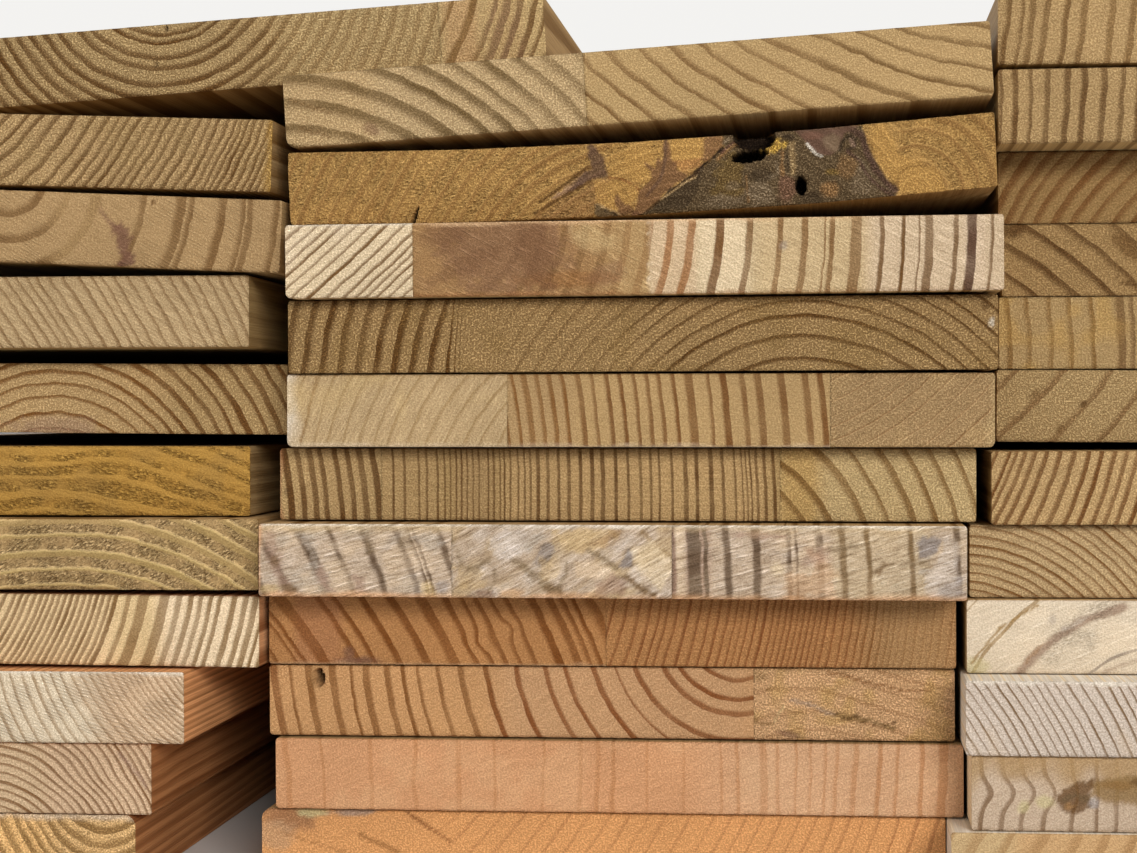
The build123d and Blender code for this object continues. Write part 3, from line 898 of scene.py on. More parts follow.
               (56.6, 0.4), (58.0, 0.5), (59.7, 0.3), (60.8, 0.3), (62.4, 0.4), (64.5, 0.4), (66.2, 0.4),
               (67.7, 0.4), (69.7, 0.8), (72.3, 0.7), (75.2, 0.7), (77.9, 0.8), (81.0, 0.8), (84.1, 1.0),
               (86.9, 1.0), (90.4, 0.8), (93.7, 0.6), (97.0, 0.7), (99.7, 0.6), (101.9, 0.4),
               (105.3, 0.6), (108.9, 1.1), (111.8, 0.8), (115.6, 1.1), (118.7, 0.7), (121.9, 0.5),
               (123.8, 0.3), (124.9, 0.3), (126.0, 0.3), (127.6, 0.6), (129.7, 0.7)),
        soft=0.5, crisp=0.25, contrast=0.75, grain=0.55, torn=0.1, saw=(0, 0.5), wave=0.4, wander=0.2,
        marks=(across(24, 44, "tan", "umber", 4, 0.8), across(47, 58, "dun", "umber", 3, 0.6),
               across(60, 131, "sand", "umber", 5, 0.8), rim_tone("top", 1.6, "drab", 0.4))),
    "middle_board_06_right_stave": Wood(
        "pine_golden", "wheat", "hazel", (109, -18),
        lines=((131.8, 0.8), (140.4, 1.1), (150.7, 1.4), (157.6, 0.5), (164.8, 1.2), (171.0, 0.8),
               (176.8, 0.7), (182.6, 0.6)),
        soft=1.6, crisp=0.3, contrast=0.8, grain=0.7, torn=0.2, wave=0.3, wander=0.4,
        marks=(across(133, 144, "honey", "hazel", amount=0.6),
               across(144, 184, "straw", "hazel", amount=0.6), rim_tone("top", 1.6, "drab", 0.4))),
    "middle_board_07_left_stave": Wood(
        "pine_cream", "bone", "smoke", leaning(25, 9.5, -67, 90, -1),
        lines=((4.6, 1.4), (15.5, 2.4), (23.0, 1.1), (31.6, 1.5), (40.4, 1.4), (43.2, 0.3), (44.4, 0.3),
               (51.2, 1.6)),
        soft=1.6, crisp=1.2, contrast=0.95, grain=0.3, torn=0.2, saw=(17, 1.7), scrape=0.9, teeth=0.3,
        wave=0.2, wander=0.7,
        marks=(mottle(5, "linen", 0.7, 6, 1.5, 17), mottle(4, "ash", 0.5, 1, 2.0, 17, 0.5),
               area(((0, 18), (2, 13), (3, 7), (5, 4), (8, 0.5), (11, 1), (7, 5), (6, 10), (4, 18)),
                    "mauve", 0.55, 0.8, 2.0),
               area(((10, 18), (12.5, 13), (14.8, 6), (16.5, 1), (20, 1), (18.5, 6), (15.5, 12),
                     (14, 18)), "ash", 0.5, 0.8, 2.0),
               area(((15.5, 9), (16, 4), (18, 1.5), (20, 1.5), (18, 5), (17, 9)), "mauve", 0.7, 0.6, 1.5),
               stain(4.3, 9.3, 1.3, 1.4, "fallow", 0.6), stain(8.6, 1.8, 2.4, 1.0, "fallow", 0.8, -15),
               stain(2.5, 2.0, 2.5, 1.2, "wheat", 0.6),
               area(((25, 6), (28, 5), (29, 1), (26, 1)), "mauve", 0.6),
               area(((30, 17), (31, 12), (29, 11), (28, 17)), "stone", 0.5),
               stain(39, 14.5, 2.0, 2.0, "stone", 0.5),
               area(((41, 16), (46, 17), (50, 14), (45, 12)), "ash", 0.6),
               stain(48.6, 2.8, 1.8, 2.0, "slate", 0.7, 40),
               area(((43, 4), (46, 4), (47, 0), (44, 0)), "wheat", 0.6),
               # The near-white line along the top edge is a painted highlight on the lit arris
               rim_tone("top", 3.0, "wheat", 0.6), rim_tone("top", 0.9, "snow", 0.8),
               rim_tone("bottom", 1.6, "salmon", 0.7), rim_tone("left", 1.0, "salmon", 0.6))),
    "middle_board_07_centre_stave": Wood(
        "pine_cream", "bone", "drab", leaning(80, 9.5, 40, 60), (6.0, 5.4),
        share=0.15, soft=2.4, crisp=1.0, contrast=0.35, grain=0.3, torn=0.25, saw=(30, 1.7), scrape=0.9,
        wave=2.4,
        marks=(mottle(5, "oat", 0.7, 3, 1.8, 35), mottle(4, "frost", 0.5, 7, 1.6, 35),
               area(((51, 16), (53, 7), (55, 7), (52.5, 16)), "stone", 0.6),
               area(((52, 8), (59, 8), (60, 3), (54, 2)), "corn", 0.6, 0.8, 2.0),
               area(((53.5, 5.6), (55, 7.6), (62, 11), (62, 9), (57, 6.5)), "stone", 0.75, 0.4, 1.2),
               area(((61, 15), (66, 18), (71, 17), (72, 12), (66, 10), (62, 11)), "frost", 0.8, 0.8, 1.6),
               area(((72.5, 8), (76, 8), (79.5, 14), (75, 14.5)), "slate", 0.8, 0.5, 1.2),
               area(((70, 13), (72, 12), (76, 16.5), (73, 16)), "ash", 0.8),
               area(((67, 10), (70, 9.5), (76, 5), (81, 1), (76, 1), (71, 6)), "stone", 0.75, 0.5, 1.4),
               area(((75.5, 3), (80, 3.6), (80.5, 0.8), (76.5, 0.8)), "fallow", 0.7),
               area(((78, 17), (80, 14), (84, 12), (90, 11.5), (95, 17), (92, 18), (84, 18)), "corn",
                    0.75, 0.8, 1.6),
               area(((88, 14), (92, 13), (96, 18), (93, 18)), "nut", 0.4),
               area(((74, 11), (80, 8), (79, 5), (75, 5)), "corn", 0.5),
               area(((83, 10), (90, 9.5), (94, 7), (92, 5), (84, 5)), "linen", 0.9),
               path(((87.5, 12.4), (91, 10.4), (94.5, 8.0)), 0.7, "stone", 0.9),
               path(((79.5, 3.5), (81.5, 6), (81.5, 9)), 0.5, "stone", 0.7),
               area(((95, 8), (98, 8), (100, 12), (97.5, 13)), "slate", 0.95, 0.3, 0.6),
               area(((88, 0.5), (97, 0.5), (97, 4.5), (94, 6), (89, 4)), "mauve", 0.6, 0.6, 1.4),
               path(((96.8, 5.8), (100, 3.2), (104, 0.8)), 0.8, "fallow", 0.85, 1.0),
               path(((101, 17.5), (105, 13.2), (109, 10.6)), 0.5, "sedge", 0.6, 1.0),
               path(((62.8, 7), (62.6, 4), (61, 1.5)), 0.6, "stone", 0.7),
               area(((98, 13), (104, 15), (110, 9), (106, 2), (100, 7)), "milk", 0.6),
               stain(60, 1.0, 2.5, 1.0, "clay", 0.6), stain(67, 1.2, 3.0, 1.2, "rose", 0.8),
               # The near-white line along the top edge is a painted highlight on the lit arris
               stain(84, 0.8, 9, 0.8, "rose", 0.6), rim_tone("top", 0.9, "snow", 0.8),
               rim_tone("bottom", 1.2, "salmon", 0.5))),
    "middle_board_07_right_stave": Wood(
        "pine_cream", "bone", "smoke", (-40, 0),
        lines=((115.2, 3.4), (118.0, 0.7), (123.8, 1.7), (131.3, 2.0), (139.6, 1.2), (141.4, 0.3),
               (147.4, 1.8), (153.4, 1.6), (159.8, 1.3), (170.6, 1.3), (182.2, 1.5)),
        soft=1.1, crisp=0.9, contrast=1.0, grain=0.3, torn=0.2, saw=(17, 1.7), scrape=0.9, teeth=0.3,
        wave=0.2, wander=0.6,
        marks=(mottle(5, "linen", 0.8, 5, 1.6, 17), mottle(4, "ash", 0.4, 8, 1.8, 17, 0.55),
               across(109, 112.5, "linen", "mauve", 1.0, 0.8),
               across(112.5, 119, "mauve", "smoke", 1.0, 0.6), across(119, 136, "bone", "smoke", 2, 0.8),
               across(150, 175, "buff", "sedge", 2, 0.5),
               area(((138, 1), (150, 1), (151, 7), (148, 12), (143, 13), (146, 7), (138, 6)), "rose",
                    0.55, 0.8, 1.6),
               area(((142, 8), (150, 10), (149, 14), (143, 13)), "mauve", 0.5, 0.8, 1.6),
               area(((124, 16.5), (130, 18), (138, 16), (130, 15.5)), "mauve", 0.6),
               stain(136, 8, 1.6, 2.2, "milk", 0.6),
               area(((148, 13), (152, 12.4), (157.5, 13.6), (157, 15), (151, 14)), "stone", 0.6),
               area(((160.5, 7), (162, 6.6), (165.5, 9.4), (163, 9.6)), "fallow", 0.8),
               path(((167, 9.4), (170, 9.6), (174.5, 9.4)), 0.5, "stone", 0.7),
               path(((172, 7.4), (175, 7.6)), 0.5, "ash", 0.9),
               area(((172, 10.5), (176, 11.5), (178.5, 16), (172.5, 16.5), (171.5, 14)), "slate", 0.95,
                    0.5, 1.0),
               area(((174, 1), (182, 1), (182, 15), (179, 16), (176.5, 10), (173.5, 6)), "frost", 0.65),
               area(((175, 0), (184, 0), (183, 6), (178, 3.5)), "slate", 0.6, 0.8, 2.0),
               # The near-white line along the top edge is a painted highlight on the lit arris
               rim_tone("top", 3.0, "corn", 0.45), rim_tone("top", 0.9, "snow", 0.8),
               rim_tone("bottom", 2.0, "rose", 0.6), rim_tone("bottom", 0.9, "salmon", 0.6))),
    "middle_board_08_left_stave": Wood(
        "pine_reddish", "cedar", "tawny", leaning(45, 9.5, -62, 150, -1),
        lines=((1.6, 0.4), (4.0, 0.5), (9.8, 2.6), (20.2, 1.1), (24.6, 0.7), (31.5, 1.3), (39.1, 1.5),
               (46.7, 2.2), (52.9, 1.1), (57.3, 0.6), (61.1, 0.9), (65.2, 0.6), (69.4, 0.7), (76.3, 1.6),
               (81.4, 1.6), (84.5, 0.7), (87.3, 0.6)),
        soft=1.4, crisp=0.3, contrast=0.85, grain=0.45, torn=0.1, wave=0.5, wander=0.5,
        marks=(bend_rings(58, 6, 3.5, 2.6, 0.45), bend_rings(65.5, 10, 2.6, 2.2, -0.5),
               stain(24, 0.8, 6, 1.3, "plum", 0.8), stain(22.0, 3.0, 1.6, 1.8, "plum", 0.7, 60),
               across(7, 20, "terracotta", "rust", 2, 0.6), rim_tone("bottom", 0.8, "peach", 0.5))),
    "middle_board_08_right_stave": Wood(
        "pine_reddish", "cedar", "rust", (5, 35),
        [(88, 3.5), (108, 2.6), (130, 1.9), (150, 1.8), (170, 2.2), (184, 2.6)],
        share=0.17, soft=0.9, crisp=0.25, contrast=0.8, grain=0.6, torn=0.1, ridge=0.3, saw=(0, 0.4),
        wave=0.3, wander=0.3,
        marks=(across(160, 186, "dun", "hazel", 8, 0.6), change(165, 186, 6, contrast=0.4))),
    "middle_board_09_left_stave": Wood(
        "pine_reddish", "fox", "rust", (127, 28.5),
        radii=((13.0, 0.9), (18.2, 1.0), (22.0, 1.1), (29.1, 1.2), (34.1, 0.3), (39.8, 1.2), (47.2, 0.9),
               (52.6, 1.0), (60.5, 1.1), (68.7, 1.2), (75.6, 1.4), (81.9, 0.9), (87.3, 0.7), (91.3, 0.8),
               (95.7, 1.3), (101.4, 1.7), (105.5, 0.5), (110.5, 1.6), (117.0, 1.6), (122.1, 0.6),
               (126.5, 1.7)),
        soft=0.9, crisp=0.3, contrast=0.85, grain=0.45, wave=0.3, wander=0.4,
        marks=(hollow(13.5, 15.7, 2.3, 5.2, 8.0, 8.0), stain(13.3, 15.5, 1.9, 3.6, "drab", 0.45),
               across(62, 132, "rose", "rust", 8, 0.6), across(2, 60, "fox", "hazel", 6, 0.4))),
    "middle_board_09_right_stave": Wood(
        "pine_reddish", "melon", "chestnut", leaning(160, 9.5, -12, 80, -1), (4.5, 5.5),
        share=0.1, soft=1.2, contrast=0.3, grain=0.85, torn=0.2, wave=2.5, saw=(-12, 0.5),
        marks=(mottle(6, "honey", 0.5), streak((141.3, 10.9), (153, 7.0), 0.9, "slate", 0.5, 1.2),
               streak((153, 7.0), (168.1, 3.8), 0.9, "drab", 0.8, 1.6),
               dots((151, 7.4), (168, 4.0), 9, 0.7, "umber"),
               streak((150.9, 18.1), (170.2, 13.6), 0.5, "chestnut", 0.7),
               streak((170, 13.6), (178, 13.2), 0.5, "chestnut", 0.6),
               stain(132.4, 16.9, 3.0, 1.3, "drab", 0.5), stain(135.0, 13.4, 0.7, 0.7, "hazel", 0.9),
               streak((127.5, 9.0), (132.5, 4.4), 0.4, "hazel", 0.6),
               streak((132.5, 4.4), (136.5, 4.2), 0.4, "hazel", 0.6),
               streak((136.5, 4.2), (139.5, 9.5), 0.35, "straw", 0.6),
               stain(140.5, 1.5, 3.0, 0.9, "plum", 0.6, -12), rim_tone("top", 2.5, "drab", 0.25))),
    "middle_board_10": Wood(
        "pine_reddish", "coral", "copper", (-110, 6),
        lines=((3.7, 1.3), (13.6, 0.5), (27.0, 0.9), (39.4, 0.9), (50.4, 1.2), (60.2, 0.5), (73.4, 0.4),
               (83.3, 1.0), (87.9, 0.9), (92.0, 0.8), (101.0, 0.3), (110.8, 0.4), (120.7, 0.6),
               (125.0, 0.6), (132.0, 1.7), (135.6, 0.7), (140.5, 0.4), (144.4, 0.5), (148.3, 0.6),
               (151.2, 0.7), (156.1, 1.2), (162.5, 1.0), (167.1, 0.6), (173.5, 1.0), (179.1, 2.0)),
        soft=0.9, crisp=0.35, contrast=0.48, grain=0.4, saw=(24, 0.4), teeth=0.35, wave=0.8, wander=0.5,
        marks=(bend_rings(39, 8, 8, 6, 0.12), mottle(10, "peach", 0.2),
               across(120, 186, "shell", "copper", 15, 0.4), change(155, 186, 6, contrast=0.65))),
    "middle_board_11": Wood(
        "pine_reddish", "sunset", "copper", leaning(120, 9.5, 62, 150), (5.2, 4.4),
        share=0.1, soft=0.9, contrast=0.5, grain=0.55, torn=0.1, saw=(20, 0.2), wander=0.4,
        marks=(change(-5, 52, 4, contrast=0.1), stain(7, 16.5, 8, 3.4, "plum", 0.6, -12),
               stain(4, 12, 6, 4, "rose", 0.7), stain(14, 18.4, 4.0, 1.4, "lichen", 0.8),
               stain(26, 18.6, 7.0, 1.0, "slate", 0.7, 4),
               streak((40, 18.3), (51.8, 11.0), 0.55, "rust", 0.85),
               streak((27.2, 12.4), (37.5, 7.6), 1.0, "chestnut", 0.6),
               streak((5, 12.5), (26, 6.5), 0.4, "chestnut", 0.5), change(165, 190, 6, contrast=0.8))),
    # Right column, from the top
    "right_board_01": Wood(
        "pine_tan", "tan", "bistre", leaning(20, 9.5, 83, 200),
        lines=((-2.0, 1.0), (2.3, 0.9), (6.0, 0.6), (8.6, 1.1), (12.2, 1.2), (17.5, 1.0), (21.9, 1.2),
               (29.2, 1.2), (34.4, 1.2), (39.5, 1.0), (44.0, 1.0)),
        soft=1.2, contrast=0.65, grain=0.6, torn=0.15, face=("dune", "drab"),
        marks=(across(22, 60, "sand", "hazel", amount=0.5),)),
    "right_board_02": Wood(
        "pine_tan", "tan", "umber", leaning(20, 9.5, 88, 200),
        lines=((0.8, 0.6), (4.5, 1.0), (8.3, 0.6), (12.7, 1.1), (17.7, 1.2), (22.0, 1.2), (27.0, 1.2),
               (31.7, 1.0), (35.9, 1.0), (40.5, 1.0), (45.0, 1.0)),
        soft=1.1, contrast=0.75, grain=0.65, torn=0.15, face=("wheat", "drab")),
    "right_board_03": Wood(
        "pine_tan", "moor", "sepia", (68, -27), (3.9, 4.2),
        share=0.24, soft=1.6, contrast=0.75, grain=0.55, wander=0.5),
    "right_board_04": Wood(
        "pine_reddish", "heath", "burnt", leaning(25, 9.5, -40, 100, -1), (7.6, 7.2),
        share=0.1, soft=2.0, contrast=0.75, grain=0.75, torn=0.1,
        marks=(stain(2.5, 17.5, 3.6, 2.2, "umber", 0.85), stain(33, 12.5, 5.5, 1.8, "walnut", 0.7, -42),
               dots((28, 5.6), (36, 1.5), 5, 0.8, "umber"))),
    "right_board_05": Wood(
        "pine_golden", "dune", "hazel", leaning(25, 9.5, -88, 150, -1),
        lines=((-1.5, 0.7), (3.4, 0.8), (8.3, 0.7), (13.9, 0.6), (19.0, 0.7), (24.6, 0.6), (32.1, 1.8),
               (35.0, 0.5), (40.0, 0.8)),
        soft=1.4, contrast=0.7, grain=0.6, torn=0.1, saw=(0, 0.3),
        marks=(across(30, 60, "tan", "dusk", amount=0.4), mottle(9, "honey", 0.5))),
    "right_board_06": Wood(
        "pine_reddish", "dune", "sepia", leaning(25, 9.5, 52, 120), (8.5, 8.5),
        share=0.08, soft=1.6, contrast=0.55, grain=0.8, torn=0.15, wander=0.7,
        marks=(stain(22.6, 10.0, 0.9, 0.9, "umber", 0.8), stain(16.5, 3.4, 1.6, 0.7, "walnut", 0.6, 50),
               stain(9.5, 12.5, 1.8, 0.7, "walnut", 0.5, 45))),
    "right_board_07": Wood(
        "pine_tan", "sand", "sepia", leaning(20, 9.5, 70, 120),
        lines=((-2.0, 0.6), (1.5, 0.6), (3.2, 0.5), (5.6, 0.8), (8.2, 0.8), (11.3, 0.9), (14.9, 0.9),
               (18.6, 1.0), (22.5, 0.9), (25.9, 0.9), (29.3, 0.9), (32.3, 0.8), (35.3, 0.9), (38.8, 0.9),
               (42.0, 0.9)),
        soft=0.9, contrast=0.8, grain=0.65, torn=0.1, wave=0.6, wander=0.3, face=("tan", "drab")),
    "right_board_08": Wood(
        "pine_tan", "corn", "russet", (-3, -32), (2.5, 3.0),
        share=0.12, soft=1.0, crisp=0.25, contrast=0.8, grain=0.6, torn=0.1, wave=0.3, wander=0.3),
    "right_board_09": Wood(
        "pine_cream", "chalk", "iron", (52, -26.5),
        radii=((34.0, 0.4), (57.4, 0.7), (68.0, 0.4)),
        soft=0.3, crisp=0.3, contrast=0.7, grain=0.3, saw=(22, 0.4), scrape=0.4, wander=0.5,
        marks=(across(-5, 19.5, "chalk", "olive", 1.5, 0.9), stain(2, 1, 4, 3, "lichen", 0.6),
               rough_patch(30, 11, 17, 6, 0.5, 40), stain(22, 14, 1.0, 1.4, "slate", 0.4),
               mottle(9, "ivory", 0.35),
               path(((12, -2), (16, 3.4), (22, 8.6), (30, 14), (40, 17.3)), 1.35, "band", 0.9, 0.8),
               path(((25, 11.6), (31, 15)), 0.5, "ash", 0.7, 1.4),
               path(((13.5, 1.5), (20, 8.2)), 0.4, "nut", 0.4, 1.2),
               path(((18.4, 18), (8.7, 12), (1.1, 2.6)), 0.3, "olive", 0.85, 0.3),
               path(((35, 0.6), (42, 3.4), (48, 5.0)), 0.5, "band", 0.5, 0.8))),
    "right_board_10": Wood(
        "pine_cream", "frost", "fallow", leaning(20, 9.5, -60, 120, -1), (2.3, 2.1),
        share=0.12, soft=0.6, crisp=0.25, contrast=0.8, grain=0.45, torn=0.1, saw=(25, 0.2), teeth=0.25,
        # Pale faces, whitened further as a painted highlight like the brightly lit top face
        wander=0.3, face=("snow", "cream"),
        # Painted highlight: a near-white line along the lit top edge
        marks=(mottle(6, "linen", 0.35, 0, 1.5, -60), rim_tone("top", 1.1, "snow", 0.85))),
    "right_board_11": Wood(
        "pine_cream", "bone", "bistre", leaning(20, 9.5, 89, 400),
        lines=((-3.0, 0.8), (2.3, 0.9), (7.6, 1.0), (12.6, 0.9), (18.2, 0.9), (25.4, 0.9), (31.6, 0.7),
               (36.6, 0.7), (43.0, 0.7)),
        soft=1.0, crisp=0.3, contrast=0.62, grain=0.35, wander=0.3, face=("cream", "straw"),
        marks=(bend_rings(12, 9.7, 14, 3.8, -0.62), rim_tone("top", 9, "dun", 0.85),
               area(((29.5, 12.6), (36, 14.2), (48, 15), (48, 6.4), (40, 7.2), (33, 7.6), (30, 9)),
                    "drab", 0.85, 0.8),
               area(((21.4, 8.0), (22.8, 10.8), (25.2, 12.3), (28.6, 12.9), (30.4, 13.4), (30.8, 11.6),
                     (29.6, 9.5), (30.2, 6.6), (28, 5.0), (25, 4.4), (22.6, 5.8)), "umber", 0.85, 0.4),
               path(((23, 8), (26, 9.5), (29, 8.4)), 0.8, "bark", 0.6, 1.0),
               stain(24.4, 6.4, 1.0, 0.8, "nut", 0.6), stain(36, 12.0, 4, 1.2, "hazel", 0.6),
               stain(41, 12.8, 1.4, 0.8, "umber", 0.7), stain(30.6, 7.4, 1.2, 1.4, "steel", 0.6),
               stain(13, 6.2, 1.6, 1.3, "lichen", 0.6, 40), stain(18.5, 7.6, 2.2, 1.6, "lichen", 0.6))),
    "right_board_12": Wood(
        "pine_cream", "corn", "nut", leaning(20, 9.5, 60, 160), (7, 7),
        # Pale faces, whitened further as a painted highlight like the brightly lit top face
        share=0.2, soft=2.0, contrast=0.5, grain=0.35, face=("snow", "cream"),
        marks=(across(16, 60, "fox", "nut", amount=0.5),)),
}


def dress(name, board, outline, wood, seed):
    """The piece's mesh, with its fields as attributes."""
    length = board.places[-1] - board.places[0]
    points, quads, tris, ends_count = lay_out(outline, wood.cell, length)
    u, v, depth, end = points
    fields = Fields(wood, outline, u, v, depth, seed)
    lift = relief(fields, wood, outline)
    on_front, on_rear = depth < same_plane / 2, depth > length - same_plane / 2
    behind_hollows = np.maximum(depth, fields.sink + 0.02 * depth)
    placed = np.where(on_front, lift + fields.sink, behind_hollows)
    placed = np.where(on_rear, depth - rear_relief * lift, placed)
    xyz = board.point(u + into_glue(outline, u), v, placed) * MM
    mesh = bpy.data.meshes.new(name + "_wood")
    fill(mesh, xyz, quads, tris, ends_count)
    record(mesh, fields, end)
    return mesh


def lay_out(outline, cell, length):
    """A piece's points, its quads, its triangles and how many quads its two ends have.

    Both ends are grids, the front one finer. Loops of points run round the faces between them.
    """
    fu, fv, front = grid(outline, cell)
    ru, rv, rear = grid(outline, rear_cell)
    front_rim, rear_rim = rim(front), rim(rear)
    cu, cv = ru[rear_rim], rv[rear_rim]
    depths = [p for p in loop_depths if p < length - 1.0]
    points = [sheet(fu, fv, 0.0, 1.0), sheet(fu[front_rim], fv[front_rim], depths[0], 0.0)]
    points += [sheet(cu, cv, p, 0.0) for p in depths[1:]] + [sheet(ru, rv, length, 1.0)]
    starts = np.cumsum([0] + [part.shape[1] for part in points])
    first = starts[1] + np.arange(len(front_rim))
    loops = [start + np.arange(len(cu)) for start in starts[2:-2]]
    rear = starts[-2] + rear

    quads = [cells(front), cells(rear)[:, [0, 3, 2, 1]]]
    ends_count = sum(map(len, quads))
    quads.append(strip(front_rim, first))
    quads += [strip(a, b) for a, b in zip(loops[:-1], loops[1:])]
    quads.append(strip(loops[-1], rear.ravel()[rear_rim]))
    tris = zip_loops(first, loops[0], reach(fu[front_rim], fv[front_rim]), reach(cu, cv))
    return np.hstack(points), np.vstack(quads), tris, ends_count


def sheet(u, v, depth, end):
    """Points at one depth, with 1 for those of a sawn end."""
    return np.stack([u, v, np.full_like(u, depth), np.full_like(u, end)])


def cells(index):
    """The quads of a grid, facing the viewer in front."""
    corners = [index[:-1, :-1], index[1:, :-1], index[1:, 1:], index[:-1, 1:]]
    return np.stack(corners, -1).reshape(-1, 4)


def strip(a, b):
    """Quads between two loops of one count, facing outwards."""
    return np.stack([a, b, np.roll(b, -1), np.roll(a, -1)], -1)


def into_glue(outline, u):
    """How far each point is moved sideways, so that staves meet in their glue line."""
    at_right = (u > outline.end - same_plane / 2) & outline.glued_right
    at_left = (u < outline.start + same_plane / 2) & outline.glued_left
    return glue_half * (at_right.astype(float) - at_left)


def fill(mesh, xyz, quads, tris, smooth_count):
    """Gives a mesh its points and faces, of which the first smooth_count are shaded smooth."""
    mesh.vertices.add(len(xyz))
    mesh.vertices.foreach_set("co", xyz.astype(np.float32).ravel())
    corners = np.concatenate([quads.ravel(), tris.ravel()]).astype(np.int32)
    mesh.loops.add(len(corners))
    mesh.loops.foreach_set("vertex_index", corners)
    mesh.polygons.add(len(quads) + len(tris))
    starts = np.concatenate([np.arange(len(quads)) * 4, quads.size + np.arange(len(tris)) * 3])
    mesh.polygons.foreach_set("loop_start", starts.astype(np.int32))
    smooth = np.zeros(len(quads) + len(tris), bool)
    smooth[:smooth_count] = True
    mesh.polygons.foreach_set("use_smooth", smooth)
    mesh.update(calc_edges=True)


def record(mesh, f, end):
    """Stores a piece's fields for the material, three to an attribute."""
    offset = np.array([f.seed * 37.0, f.seed * 61.0, 0.0])
    put(mesh, "spot", np.column_stack([f.u, f.v, f.depth]) + offset)
    put(mesh, "ring", f.ring)
    put(mesh, "early", f.early * f.shade[:, None])
    put(mesh, "late", f.late * f.shade[:, None])
    put(mesh, "band", np.column_stack([f.share, f.soft / f.spacing, f.contrast]))
    put(mesh, "line", np.column_stack([f.crisp / f.spacing, f.wander / f.spacing, end]))
    put(mesh, "finish", np.column_stack([f.grain, f.torn, f.teeth]))
    put(mesh, "saw", np.column_stack([f.saw, f.saw_along, f.saw_amount]))
    put(mesh, "relief", np.column_stack([f.scrape, f.ridge, end]))


def put(mesh, name, values):
    """Adds an attribute with a number or a vector for each point."""
    kind, key = ("FLOAT", "value") if values.ndim == 1 else ("FLOAT_VECTOR", "vector")
    mesh.attributes.new(name, kind, "POINT").data.foreach_set(key, values.astype(np.float32).ravel())


# Relief of the sawn ends, in millimetres
early_sink = 0.1                # soft wood lies this much lower than the dark lines
glue_sink = 0.12                # depth of the groove along a glue line
glue_reach = 1.6                # its half width
upper_chip = (0.3, 0.3)         # broken away at the upper edge: everywhere, and at most besides
lower_chip = (0.05, 0.5)        # the same at the lower edge
upper_reach = 0.75              # how far from the upper edge that reaches
lower_reach = 0.9
rear_relief = 0.6               # the rear ends have this share of the relief


def relief(f, wood, outline):
    """How far the sawn end lies behind its plane, in millimetres."""
    u, v = f.u, f.v
    saw = noise(f.saw / 1.3, u * 0 + 3, f.seed + 11)
    fuzz = f.patches(0.8, 12)
    slow = noise(u / 9, v / 6, f.seed + 13)
    early = 1 - step(1 - wood.share - 0.2, 1 - wood.share, np.mod(f.ring, 1.0))
    torn = f.torn * early * step(0.35, 0.75, fuzz)
    out = wood.rough * (0.5 * fuzz + wood.saw[1] * saw + 0.8 * slow + 1.5 * torn) + early_sink * early
    glued = np.ones_like(u)
    if outline.glued_left:
        glued *= step(0.0, glue_reach, u - outline.start)
    if outline.glued_right:
        glued *= step(0.0, glue_reach, outline.end - u)
    out = out * glued + glue_sink * (1 - glued)
    chip = noise(u / 1.7, v / 30, f.seed + 14)
    out += step(upper_reach, 0.0, board_thickness - v) * (upper_chip[0] + upper_chip[1] * chip)
    out += step(lower_reach, 0.0, v) * (lower_chip[0] + lower_chip[1] * chip)
    return out


# The material
class Nodes:
    """Short names for the shader nodes of one material."""

    def __init__(self, name):
        self.material = bpy.data.materials.new(name)
        self.material.use_nodes = True
        self.tree = self.material.node_tree
        self.tree.nodes.clear()

    def new(self, kind, inputs=(), **settings):
        node = self.tree.nodes.new(kind)
        for key, value in settings.items():
            setattr(node, key, value)
        for key, value in dict(inputs).items():
            if isinstance(value, bpy.types.NodeSocket):
                self.tree.links.new(value, node.inputs[key])
            else:
                node.inputs[key].default_value = value
        return node

    def attribute(self, name, output):
        return self.new("ShaderNodeAttribute", attribute_name=name).outputs[output]

    def math(self, operation, a, b=0.0, c=0.0):
        return self.new("ShaderNodeMath", {0: a, 1: b, 2: c}, operation=operation).outputs[0]

    def plus(self, a, b):
        return self.math("ADD", a, b)

    def minus(self, a, b):
        return self.math("SUBTRACT", a, b)

    def times(self, a, b):
        return self.math("MULTIPLY", a, b)

    def parts(self, vector):
        return self.new("ShaderNodeSeparateXYZ", {0: vector}).outputs

    def join(self, x, y, z):
        return self.new("ShaderNodeCombineXYZ", {0: x, 1: y, 2: z}).outputs[0]

    def noise(self, vector, scale, roughness=0.5):
        return self.new("ShaderNodeTexNoise", {"Vector": vector, "Scale": scale, "Detail": 2.0,
                                               "Roughness": roughness}).outputs["Fac"]

    def ramp(self, value, low, high, to_low=0.0, to_high=1.0, smooth=True):
        kind = "SMOOTHSTEP" if smooth else "LINEAR"
        return self.new("ShaderNodeMapRange", {"Value": value, "From Min": low, "From Max": high,
                                               "To Min": to_low, "To Max": to_high},
                        interpolation_type=kind).outputs[0]

    def mix(self, amount, a, b, blend="MIX"):
        node = self.new("ShaderNodeMix", data_type="RGBA", blend_type=blend)
        for index, value in ((0, amount), (6, a), (7, b)):
            if isinstance(value, bpy.types.NodeSocket):
                self.tree.links.new(value, node.inputs[index])
            else:
                node.inputs[index].default_value = value
        return node.outputs[2]


# How much each kind of mark changes the tone and the height of a sawn end
# The speckle lightens and darkens the tone partly as the cut fibres' own colour, partly as painted shading
# of their relief
speckle_and_shading_tone, speckle_height = 0.36, 0.6
scratch_tone, scratch_height = 1.1, 1.0
teeth_tone, teeth_height = 0.15, 0.3
scrape_tone, scrape_height = 0.25, 0.5
# The pale line at each ring's end is a painted highlight, besides a little height
ridge_highlight_tone, ridge_height = 0.6, 0.5
